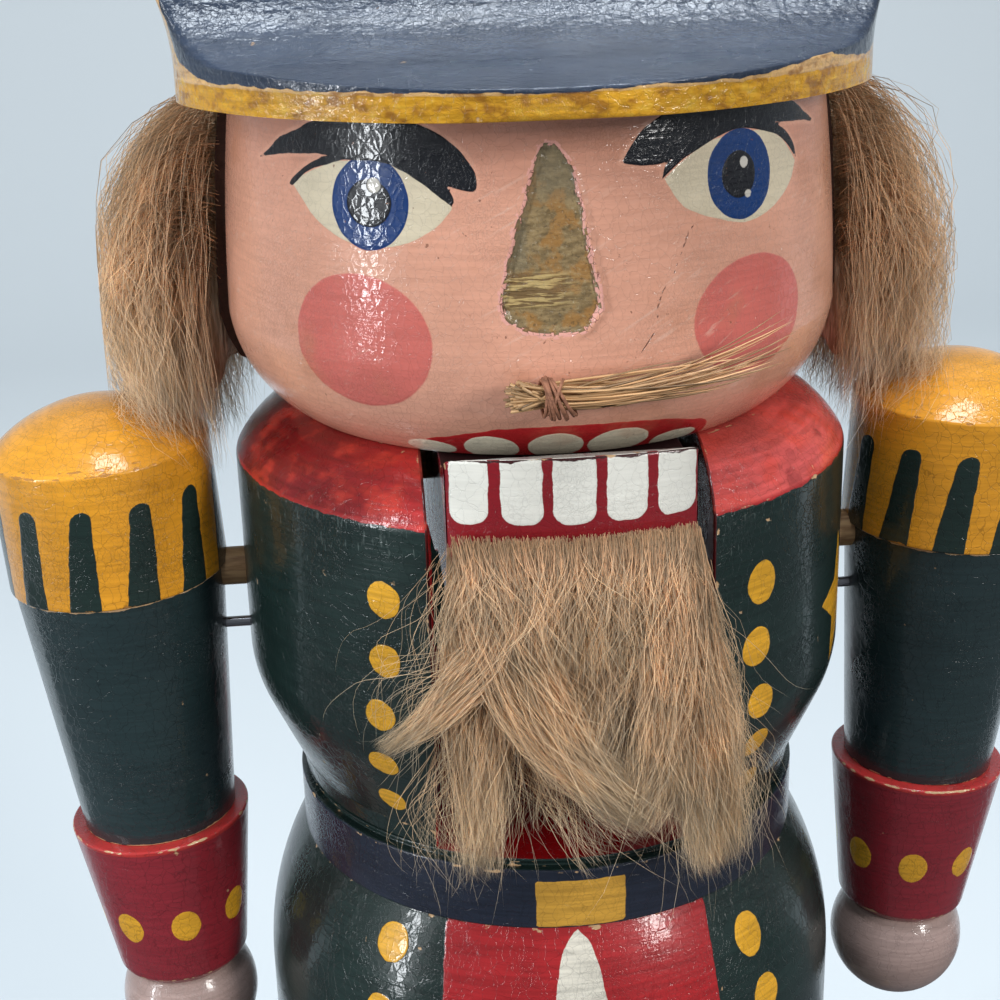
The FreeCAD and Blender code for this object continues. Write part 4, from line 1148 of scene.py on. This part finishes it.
def hair_stretch(first, last, count, locks, low_end, rng, stray=0.05):
    """Hairs rooted all over a stretch of the strip: locks side by side that sway apart.

    In degrees round the head, height and depth: out from the hide, over, and down. A hair's root is lowered
    by up to the strip's height, and its whole depth is scaled, so that the locks are filled to the hide.
    """
    paths = []
    pitch = (last - first) / locks
    for number in range(locks):
        middle = first + pitch * (number + 0.5)
        away = 1 if middle > 180 else -1
        forward = np.clip((108 - abs(180 - abs(middle - 180))) / 20, 0, 1)
        sway = away * (rng.uniform(-3.0, 3.0) + forward * rng.uniform(1.0, 10.0))
        depth = rng.uniform(11.6, 13.6) - 2.0 * math.exp(-((middle - 180) / 30) ** 2)
        low = low_end + rng.uniform(-1.0, 3.0)
        guide = (
            (middle, 235.2, 0.4), (middle, 234.8, 0.45 * depth), (middle + 0.1 * sway, 231.0, 0.78 * depth),
            (middle + 0.2 * sway, 222.0, 0.97 * depth), (middle + 0.5 * sway, 208.0, depth),
            (middle + 0.8 * sway, low + 6, 0.92 * depth), (middle + sway, low, 0.70 * depth))
        width = 0.75 * pitch + 2.4
        share = count // locks
        flat = lock(guide, share, width, width * 0.55, 1.6, rng, 2.6, 0.7, 0.1, stray)
        way = np.linspace(0, 1, flat.shape[1])[None, :]
        flat[..., 1] -= rng.uniform(0, 23, (share, 1)) * (1 - way) ** 1.4
        flat[..., 2] = 0.3 + flat[..., 2] * (1.03 - 0.85 * rng.uniform(0, 1, (share, 1)) ** 1.7)
        paths.append(flat)
    return over_shoulders(beside_head(np.concatenate(paths)))


hair_rng = np.random.default_rng(33)
hair_parts = (
    # name, from, to in degrees, hairs, locks, lowest end
    ("hair_left_front", 87.0, 112, 3400, 8, 190.0),
    ("hair_left_back", 110, 146, 2300, 9, 192.5),
    ("hair_nape", 144, 216, 3000, 14, 202.0),
    ("hair_right_back", 214, 250, 2300, 9, 192.5),
    ("hair_right_front", 248, 273.0, 3400, 8, 188.5),
)
for name, first, last, count, locks, low_end in hair_parts:
    paths = hair_stretch(first, last, count, locks, low_end, hair_rng)
    made = fibres(name, fur_finish, "figure", paths, 0.040, hair_rng)
    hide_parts("hair")
wisps = np.concatenate([
    hair_stretch(first, last, 130, 5, 196.0, hair_rng, 0.7) for first, last in ((88, 120), (240, 272))])
made = fibres("hair_wisps", fur_finish, "figure", wisps, 0.030, hair_rng)

# The hide's dark brown is painted shade, for the gap between the face and the hair.
hide_shade_finish = paint("hide", (58, 38, 30), (), roughness=0.8, gloss=0.0, wear=0.0)
hide_section = np.array([
    (0.1, 203.0), (0.6, 203.4), (0.8, 206.0), (0.9, 209.0), (0.9, 214.0), (0.9, 228.0), (0.7, 235.6),
    (0.1, 235.6)])
hide_angles = np.linspace(86.8, 273.2, 150)
hide_flat = np.stack(np.broadcast_arrays(
    hide_angles[:, None], hide_section[None, :, 1], hide_section[None, :, 0]), axis=-1)
hide_skin = {"at": beside_head(hide_flat, True)[:, ::-1], "round": True, "lids": True}
hide_skin["edge"] = np.full(hide_skin["at"].shape[:2], 50.0)
hide = piece("hair_hide_shade", hide_shade_finish, "figure", hide_skin)


def undercoat():
    """The dense short wool under the long hair: a padded strip with soft tufts, thinner towards its ends.

    Its section is a closed loop of (depth, height). Depth is scaled by an arch along the strip and ripples.
    """
    section = through([
        (0.4, 234.8), (2.6, 235.4), (5.4, 233.0), (7.2, 228.0), (8.0, 220.0), (8.2, 211.0), (7.8, 204.0),
        (6.4, 199.5),
        (4.2, 198.2), (1.6, 201.0), (0.5, 206.0), (0.4, 214.0), (0.4, 225.0), (0.4, 234.8)], 90)[:-1]
    angles = np.concatenate(
        [np.linspace(92.4, 100, 16), np.linspace(102, 258, 110), np.linspace(260, 267.6, 16)])
    from_end = np.clip(np.minimum(angles - 91.8, 268.2 - angles) / 9.0, 0, 1)
    at_nape = np.exp(-((angles - 180) / 40) ** 2)[:, None]
    arch = 0.25 + 0.75 * np.sqrt(1 - (1 - from_end) ** 2)
    arch = arch[:, None] * (1 - 0.2 * at_nape)
    tufts = ripples(np.radians(angles)[:, None] * 42, section[None, :, 1] * 0.3, 7.0, 12)
    depth = section[None, :, 0] * arch * (1 + 0.12 * tufts)
    lift = 7.0 * at_nape * np.clip((212 - section[None, :, 1]) / 14, 0, 1)
    flat = np.stack(np.broadcast_arrays(angles[:, None], section[None, :, 1] + lift, depth), axis=-1)
    at = over_shoulders(beside_head(flat))
    return {"at": at[:, ::-1], "round": True, "ends": True}


def wool_paint():
    """Wool with fine upright streaks, and painted shade in the partings, where its bump is lowest."""
    material, tree, shader = new_finish("wool")
    streak = noise(tree, 3.2, 4.0, (1.0, 1.0, 0.1))
    parting = noise(tree, 0.5, 3.0, (1.0, 1.0, 0.25))
    wool = tinted(spread(streak, 0.35, 0.68), colour(190, 160, 126), colour(246, 222, 190))
    # Painted shade: darker where the bump is low, in the partings between tufts.
    wool = tinted(spread(parting, 0.50, 0.33, 0.0, 0.5), wool, colour(120, 88, 62))
    height = streak * 0.25 + parting * 0.8
    bump = given(tree, "Bump", {"Strength": 1.0, "Distance": 0.001, "Height": height})
    fed(shader, {"Base Color": wool, "Normal": bump, "Roughness": 0.9})
    return material


wool = piece("hair_undercoat", wool_paint(), "figure", undercoat())

# The moustache is a bundle of split straw, tied with thin string and glued on the face.
# One half has broken off short beside the string.
straw_finish = fur_paint("straw", (196, 154, 108), (214, 168, 118), (222, 176, 130), 0.45, 0.1, 0.35, 0.9)
knot_at = np.array([-2.9, -39.7, 207.3])
straw_rng = np.random.default_rng(8)


def straws(count, far_end, spread_out, sag, rng, reach_low=0.82):
    """Straws from the stub through the knot to a fan of tips, each a parabola that sags or bows."""
    share = np.linspace(0, 1, 9)[None, :, None]
    ranges = ((-5.4, -2.2), (-1.1, 1.1), (-1.5, 1.7))
    start = knot_at + np.stack([rng.uniform(low, high, count) for low, high in ranges], axis=-1)
    turn = rng.uniform(0, math.tau, count)
    round_knot = np.stack([0 * turn, np.cos(turn), np.sin(turn)], axis=-1)
    near = knot_at + round_knot * rng.uniform(0.1, 1.5, (count, 1))
    ends = np.array(far_end) + rng.normal(size=(count, 3)) * np.array(spread_out)
    reach = rng.uniform(reach_low, 1.06, (count, 1))
    ends = near + (ends - near) * reach
    first = start[:, None] * (1 - share) + near[:, None] * share
    bend = rng.normal(size=(count, 1, 3)) * (0.2, 0.3, 0.4) + np.array([0, 0, -sag]) * reach[..., None]
    second = near[:, None] * (1 - share) + ends[:, None] * share + bend * 4 * share * (1 - share)
    return np.concatenate([first[:, ::4], second[:, 1:]], axis=1)


bundle = np.concatenate([
    straws(34, (16.0, -38.4, 209.3), (2.0, 0.5, 0.9), 0.5, straw_rng, 0.5),
    straws(16, (20.0, -37.6, 209.0), (1.5, 0.5, 0.7), 0.9, straw_rng, 0.8),
    straws(9, (23.2, -36.6, 211.2), (1.0, 0.5, 0.7), 1.5, straw_rng, 0.9),
    straws(4, (22.4, -37.2, 214.4), (0.5, 0.4, 0.5), 2.1, straw_rng, 0.9),
    straws(12, (16.0, -38.4, 206.8), (1.2, 0.5, 0.4), 0.3, straw_rng, 0.6),
])
moustache = fibres("moustache_straw", straw_finish, "figure", bundle, 0.19, straw_rng)
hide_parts("moustache")


def along_path(path, radius):
    """A round tube along a path: centre + radius * (cos a, sin a) about each point of it."""
    way = np.gradient(path, axis=0)
    way /= np.linalg.norm(way, axis=1, keepdims=True)
    first = np.cross(way, (0.13, 0.31, 0.94))
    first /= np.linalg.norm(first, axis=1, keepdims=True)
    second = np.cross(way, first)
    turn = np.arange(8) * math.tau / 8
    at = path[:, None] + radius * (
        np.cos(turn)[None, :, None] * first[:, None] + np.sin(turn)[None, :, None] * second[:, None])
    return {"at": at, "round": True, "ends": True, "edge": np.full(at.shape[:2], 50.0)}


string_finish = paint(
    "string", (150, 103, 80), (), roughness=0.7, gloss=0.0, streak=0.3, crack_dark=0.3, wear=0.0)
string_turns = 9
wound = np.linspace(0, 1, 26 * string_turns)
angle = wound * math.tau * string_turns
spread_along = 1.05 - 0.55 * np.sin(angle)
uneven = 0.16 * np.sin(wound * 31.0 + 1.0) + 0.12 * np.sin(wound * 47.0)
along_x = (wound - 0.5) * 2.3 * spread_along + 0.25 * np.sin(angle) + uneven
bulge = 1.85 + 0.35 * np.cos((wound - 0.5) * math.pi) + 0.12 * np.sin(wound * 71.0)
along_x = along_x - 0.45 * bulge * np.sin(angle)
path = knot_at + np.stack([along_x, bulge * 0.95 * np.cos(angle), bulge * np.sin(angle) - 0.25], axis=-1)
cross_turn = np.linspace(0.15, 2.9, 60)
cross_path = np.stack(
    [1.1 - 0.75 * cross_turn, -2.05 * np.sin(cross_turn), 1.9 * np.cos(cross_turn)], axis=-1)
string_skins = [along_path(line, 0.19) for line in (path, knot_at + cross_path)]
string = piece("moustache_string_turns", string_finish, "figure", *string_skins)
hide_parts("moustache_string")


# The hat is carved crosswise from one block: a bowed brim on both sides, and a crown whose ends sweep out.
# It is painted black, with a gold front edge and gold ends, and the black stops a little short of the edge.
# The gold on the brim's upper side is laid on paler as a painted sheen, and the black as a bluish slate, a
# painted reflection.
hat_x = -2.2
hat_z = 236.5


def crown_half_width(height):
    """Half the hat's width at a height: 39.2 at the brim, then an arc that starts upright and reaches 54."""
    rise, out = 21.8, 14.8
    bend = (out * out + rise * rise) / (2 * out)
    up = np.clip(height - 3.2, 0, rise)
    return 39.2 + bend - np.sqrt(bend * bend - up * up)


def hat_skin():
    """Loops of the brim's plan, one for each point of the side view.

    A loop's width follows the crown's ends and its depth is the lesser of the plan and the side view. The
    upper side is cut off by an arc from tip to tip. Both cuts are eased by a soft minimum.
    """
    bow_radius, bow_middle, half = 43.0, 0.8, 39.2
    front_t = np.linspace(-1, 1, 130)
    x = front_t * 36.6
    y = -(np.sqrt(bow_radius ** 2 - x ** 2) + bow_middle)
    end_y = np.linspace(-15.2, 15.2, 30)
    corner_t = np.linspace(0, 1, 10)[1:-1]
    a, b, c = np.array([x[-1], y[-1]]), np.array([half, -19.0]), np.array([half, -15.2])
    t = corner_t[:, None]
    bend = (1 - t) ** 2 * a + 2 * t * (1 - t) * b + t ** 2 * c
    front = np.stack([x, y], axis=-1)
    end = np.stack([0 * end_y + half, end_y], axis=-1)
    right = np.vstack([front, bend, end, (bend * (1, -1))[::-1]])
    plan = np.vstack([right, -right])
    plan = plan[np.concatenate([[True], np.linalg.norm(np.diff(plan, axis=0), axis=1) > 1e-6])]
    brim = np.linspace(43.0, 30.3, 34)
    cove = np.linspace(0, math.pi / 2, 26)
    side = [
        np.stack([np.linspace(0, 43.2, 26), np.zeros(26)], axis=-1),
        [(43.5, 0.05), (43.72, 0.2), (43.8, 0.5)],
        np.stack([np.full(10, 43.8), np.linspace(0.8, 2.7, 10)], axis=-1),
        [(43.76, 2.95), (43.6, 3.15), (43.35, 3.26)],
        np.stack([brim, 3.27 + (43.0 - brim) * 1.2 / 14], axis=-1),
        np.stack([29.8 - 13 * np.sin(cove), 16.4 - 12 * np.cos(cove)], axis=-1),
        np.stack([np.linspace(16.6, 10.0, 46)[1:], np.linspace(16.4, 48.0, 46)[1:]], axis=-1),
        np.stack([np.linspace(10.0, 0.0, 14)[1:], np.full(13, 48.0)], axis=-1),
    ]
    side = np.vstack(side)
    depth, height = side[:, :1], side[:, 1:]
    at_x = plan[None, :, 0] * crown_half_width(height) / half
    top_bend = (54.0 ** 2 + 19.0 ** 2) / (2 * 19.0)
    top = 48.0 - top_bend + np.sqrt(top_bend ** 2 - at_x ** 2)
    ease = 0.35
    z = -ease * np.log(np.exp(-(height - 40) / ease) + np.exp(-(top - 40) / ease)) + 40
    plan_y = np.abs(plan[None, :, 1])
    at_y = -ease * np.log(np.exp(-(depth - 30) / ease) + np.exp(-(plan_y + 0 * depth - 30) / ease)) + 30
    at_y = np.clip(np.where(depth < 0.01, 0.0, at_y), 0, None) * np.sign(plan[None, :, 1])
    front_line = np.sqrt(np.clip(bow_radius ** 2 - plan[None, :, 0] ** 2, 0, None)) + bow_middle
    from_edge = np.clip(front_line - np.abs(at_y), 0, None)
    in_front_way = from_edge + z - 2.95
    in_front_way = in_front_way - 1.2 * np.exp(-((at_x - 29.0) / 5.0) ** 2)
    end_gap = crown_half_width(z) - np.abs(at_x) - 0.55
    corner_radius = np.where(at_x < 0, 4.5, 3.0)
    short_front = np.clip(corner_radius - in_front_way, 0, None)
    short_end = np.clip(corner_radius - end_gap, 0, None)
    well_inside = (short_front == 0) & (short_end == 0)
    black = corner_radius - np.hypot(short_front, short_end)
    black = np.where(well_inside, np.minimum(in_front_way, end_gap), black)
    black = np.where(z < 2.0, -1.0, black)
    under = np.where(height < 0.02, 42.9 - depth, -1.0) + 0 * at_x
    return {
        "at": np.stack([hat_x + at_x, at_y + 0 * at_x, hat_z + z], axis=-1), "round": True,
        "black": black, "under": under, "margin": z - 2.62,
        "edge": np.abs(height - 3.2) + from_edge + 0 * at_x,
    }


def gold_specks(tree, skin, height):
    """The gold is thin and flecked: brown shows through it in small worn spots."""
    fleck = noise(tree, 0.8, 6.0, (0.7, 0.7, 1.0))
    broad = noise(tree, 0.12, 3.0)
    gilt = spread(field_of(tree, "black"), 0.0, -0.1)
    worn = fleck + (broad - 0.5) * 0.4
    skin = tinted(gilt * spread(worn, 0.5, 0.68, 0.0, 0.75), skin, colour(146, 92, 30))
    skin = tinted(gilt * spread(worn, 0.46, 0.3, 0.0, 0.6), skin, colour(232, 186, 66))
    return skin, height


hat_finish = paint("hat_paint", (212, 154, 36), (
    # The brim's upper side: a paler tan over the gold, a painted sheen.
    ("margin", (220, 176, 118), 0.2, 0.08),
    # The black is a bluish slate, lighter than black: a painted reflection of the pale room above.
    ("black", (48, 59, 77), 0.3, 0.04),
    ("under", (70, 54, 38), 0.2, 0.1),
), roughness=0.24, cell=0.9, crack_dark=0.2, cloud=0.2, streak=0.15, relief=0.05, lumps=0.22, lump_pace=1.05,
    gloss=0.8, wear=0.0, extra=gold_specks)
hat = piece("carved_hat", hat_finish, "figure", hat_skin())
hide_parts("hat")


# Each arm is turned in four pieces on a peg: a domed shoulder cap, a sleeve, a cuff and a ball for the hand.
# It hangs from a dowel in the chest, a little tilted, and a wire nail keeps it from turning.
arm_tilt = 3.2
arm_out = 55.3
arm_z = 175.0


def on_arm(skin, side):
    """Turns a skin drawn on its own axis about Y by the arm's tilt, and moves it to the shoulder."""
    lean = math.radians(side * arm_tilt)
    x, y, z = np.moveaxis(skin["at"], -1, 0)
    leaned_x = x * math.cos(lean) + z * math.sin(lean) + side * arm_out
    leaned_z = z * math.cos(lean) - x * math.sin(lean) + arm_z
    skin["at"] = np.stack([leaned_x, y, leaned_z], axis=-1)
    return skin


cap_corners = (
    (11.0, 0.02, 0.0, 0.0), (14.0, 0.02, 0.3, 0.0), (14.0, 17.4, 0.25, 0.0), (13.4, 18.0, 0.3, 0.0),
    (6.9, 22.1, 0.0, 0.42), (1.2, 23.45, 0.0, 0.25))
sleeve_corners = (
    (6.0, -35.48, 0.0, 0.0), (10.2, -35.48, 0.1, 0.0), (13.5, -0.02, 0.3, 0.0), (8.0, -0.02, 0.0, 0.0))
cuff_corners = (
    (6.0, -59.0, 0.0, 0.0), (7.7, -59.0, 0.1, 0.0), (8.9, -57.8, 0.4, 0.0), (12.0, -35.52, 0.4, 0.0),
    (6.0, -35.52, 0.0, 0.0))
ball_bend = np.linspace(-90, 37, 36)
arm_around = np.arange(0, 360, 2.0)


def fringe(height, first):
    """Green gaps in the gold fringe: twelve upright tongues, round at the top and leaning a little."""
    gaps = np.full((len(height), arm_around.size), unpainted)
    half = 2.05 - 0.055 * height[:, None]
    for number in range(12):
        middle = first + 30.0 * number + 0.45 * height[:, None]
        across = np.radians(signed(arm_around[None, :] - middle)) * 14.0
        over = np.clip(height[:, None] - (13.2 - half), 0, None)
        gaps = np.maximum(gaps, half - np.hypot(across, over))
    return np.where(height[:, None] > 0.0, gaps, -1.0)


cap_finish = paint("gold_paint", (222, 152, 40), (
    ("gap", (30, 46, 42), 0.2, 0.05),
), cloud=0.2, bared=(176, 120, 52), wear=0.25)
sleeve_finish = paint("sleeve_paint", (38, 54, 56), (), roughness=0.28, wear=0.45)
cuff_finish = paint("cuff_paint", (142, 40, 50), (
    ("dot", (226, 166, 44), 0.15, 0.05),
    ("lip", (178, 50, 48), 0.15, 0.1),
), wear=0.3)
hand_finish = paint("hand_paint", (178, 152, 144), crack_dark=0.15)
for side, name, first_gap in ((1, "left", -78.0), (-1, "right", 18.5)):
    radius, height, edge = outline(cap_corners, 0.6)
    cap = turned(radius, height, edge, arm_around, gap=fringe(height, first_gap))
    made = piece("shoulder_cap_" + name, cap_finish, "figure", on_arm(cap, side))
    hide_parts("epaulette_" + name)
    sleeve = turned(*outline(sleeve_corners, 1.6), arm_around)
    made = piece("coat_sleeve_" + name, sleeve_finish, "figure", on_arm(sleeve, side))
    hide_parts("sleeve_" + name)
    radius, height, edge = outline(cuff_corners, 0.8)
    dots = np.full((len(height), arm_around.size), unpainted)
    for number in range(8):
        turn = signed(arm_around[None, :] + (13.0 + 45.0 * number) * side)
        dot = oval(np.radians(turn) * radius[:, None], height[:, None], 0.0, -48.7, 2.0, 2.45)
        dots = np.maximum(dots, dot)
    lip = np.where(height[:, None] > -36.6, 0.5, -1.0) + 0 * dots
    cuff = turned(radius, height, edge, arm_around, dot=dots, lip=lip)
    made = piece("coat_cuff_" + name, cuff_finish, "figure", on_arm(cuff, side))
    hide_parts("cuff_" + name)
    ball_r = 9.4 * np.cos(np.radians(ball_bend))[1:]
    ball_h = (-64.8 + 9.4 * np.sin(np.radians(ball_bend)))[1:]
    keep = ball_h < -59.0
    ball = turned(ball_r[keep], ball_h[keep], np.full(keep.sum(), 50.0), arm_around)
    made = piece("ball_hand_" + name, hand_finish, "figure", on_arm(ball, side))
    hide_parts("hand_" + name)


# Dowels and pegs are bare beech, and the arm's nail is bright steel wire. Most of them are inside.
def bare_wood(name, pale, dark):
    """Beech with its short dark flecks and long grain, unpainted."""
    material, tree, shader = new_finish(name)
    grain = noise(tree, 1.6, 5.0, (0.15, 1.0, 1.0))
    wood = tinted(spread(grain, 0.35, 0.7), colour(*pale), colour(*dark))
    bump = given(tree, "Bump", {"Strength": 0.6, "Distance": 0.0001, "Height": grain})
    fed(shader, {"Base Color": wood, "Normal": bump, "Roughness": 0.6})
    return material


dowel_finish = bare_wood("dowel_wood", (200, 160, 112), (150, 108, 70))
steel_finish, steel_tree, steel_shader = new_finish("nail_steel")
drawn = spread(noise(steel_tree, 4.0, 3.0, (0.1, 1.0, 1.0)), 0.3, 0.7, 0.25, 0.45)
fed(steel_shader, {"Base Color": colour(150, 150, 155), "Metallic": 1.0, "Roughness": drawn})
for name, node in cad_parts.items():
    if "dowel" in name or "peg" in name or "pin" in name:
        node.data.materials.clear()
        node.data.materials.append(dowel_finish)
    if "nail" in name:
        node.data.materials.clear()
        node.data.materials.append(steel_finish)


# The figure stands on two turned legs, each a trouser leg over a boot with a rim, on a round turned foot.
leg_out = 16.5
leg_around = np.arange(0, 360, 3.0)
boot_corners = (
    (6.0, 0.02, 0.0, 0.0), (12.8, 0.02, 0.3, 0.0), (12.8, 37.0, 0.2, 0.0), (13.9, 38.1, 0.4, 0.0),
    (13.9, 41.98, 0.6, 0.0), (6.0, 41.98, 0.0, 0.0))
leg_corners = (
    (6.0, 42.02, 0.0, 0.0), (12.0, 42.02, 0.4, 0.0), (13.4, 83.98, 0.4, 0.35), (6.0, 83.98, 0.0, 0.0))
foot_corners = (
    (30.0, 0.0, 0.0, 0.0), (50.0, 0.0, 0.4, 0.0), (50.0, 10.0, 0.0, 0.0), (48.83, 12.83, 0.0, 0.3),
    (46.0, 14.0, 0.0, 0.3), (20.0, 14.0, 0.0, 0.0))
boot_finish = paint(
    "boot_paint", (28, 30, 34), (("cord", (214, 156, 46), 0.15, 0.05),), roughness=0.22, crack_dark=0.2)
leg_finish = paint("trouser_paint", (196, 188, 172), (("seam", (150, 40, 44), 0.15, 0.05),), roughness=0.33)
foot_finish = paint("base_paint", (44, 60, 56), (("ring", (214, 156, 46), 0.2, 0.05),))
for side, name in ((1, "left"), (-1, "right")):
    radius, height, edge = outline(boot_corners, 1.4)
    cord = np.minimum(height - 38.6, 41.6 - height)[:, None]
    boot = turned(radius, height + 14.0, edge, leg_around, side * leg_out, cord=cord)
    made = piece("turned_boot_" + name, boot_finish, "figure", boot)
    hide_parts("boot_" + name)
    radius, height, edge = outline(leg_corners, 1.4)
    seam = 0.9 - np.radians(np.abs(signed(leg_around)[None, :] - side * 90.0)) * radius[:, None]
    leg = turned(radius, height + 14.0, edge, leg_around, side * leg_out, seam=seam)
    made = piece("turned_leg_" + name, leg_finish, "figure", leg)
    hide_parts("trouser_" + name)


def toe_skin(side):
    """The toe piece: loops of its plan, from the floor up to its sloping top, with the upper edge eased.

    The plan is straight beside the boot and a half circle in front. Its back is hollow, to fit the boot.
    """
    half, length, boot_r = 12.0, 27.0, 12.85
    turn = np.linspace(0, math.pi, 60)
    straight = np.linspace(0, 15.0, 24)
    near = -math.sqrt(boot_r ** 2 - half ** 2)
    sides_y = near - (straight / 15.0) * (15.0 + near)
    hollow = np.linspace(-math.asin(half / boot_r), math.asin(half / boot_r), 50)
    plan = np.vstack([
        np.stack([0 * sides_y - half, sides_y], axis=-1),
        np.stack([-half * np.cos(turn), -15.0 - half * np.sin(turn)], axis=-1)[1:-1],
        np.stack([0 * sides_y + half, sides_y[::-1]], axis=-1),
        np.stack([-boot_r * np.sin(hollow), -boot_r * np.cos(hollow)], axis=-1)[1:-1],
    ])
    middle = np.array([0.0, -18.0])
    rows = [(1.0, f) for f in (0.0, 0.4, *np.linspace(0.5, 0.9, 8))]
    rows += [
        (1 - 0.05 * (1 - math.cos(a)), 0.9 + 0.1 * math.sin(a)) for a in np.linspace(0.2, math.pi / 2, 6)]
    rows += [(f, 1.0) for f in (0.85, 0.65, 0.4, 0.2)]
    at = []
    for share, rise in rows:
        loop = middle + (plan - middle) * share
        slope = np.clip((-loop[:, 1] - 12.8) / (length - 12.8), 0, 1)
        top = 15.0 - 7.0 * slope + 4 * slope * (1 - slope)
        at.append(np.stack([loop[:, 0] + side * leg_out, loop[:, 1], 14.02 + rise * top], axis=-1))
    at = np.array(at)
    keep_out = np.hypot(at[..., 0] - side * leg_out, at[..., 1])
    push = np.clip(boot_r - keep_out, 0, None) / np.maximum(keep_out, 1.0)
    at[..., 0] += (at[..., 0] - side * leg_out) * push
    at[..., 1] += at[..., 1] * push
    far = np.full(at.shape[:2], 50.0)
    return {"at": at, "round": True, "ends": True, "edge": far, "cord": -far}


for side, name in ((1, "left"), (-1, "right")):
    made = piece("toe_" + name, boot_finish, "figure", toe_skin(side))
    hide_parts("shoe_" + name)
radius, height, edge = outline(foot_corners, 1.0)
foot_around = np.arange(0, 360, 1.5)
ring = np.where(height > 12, 0.9 - np.abs(radius - 43.0), -1.0)[:, None]
foot = piece("turned_foot", foot_finish, "figure", turned(radius, height, edge, foot_around, ring=ring))
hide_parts("base")
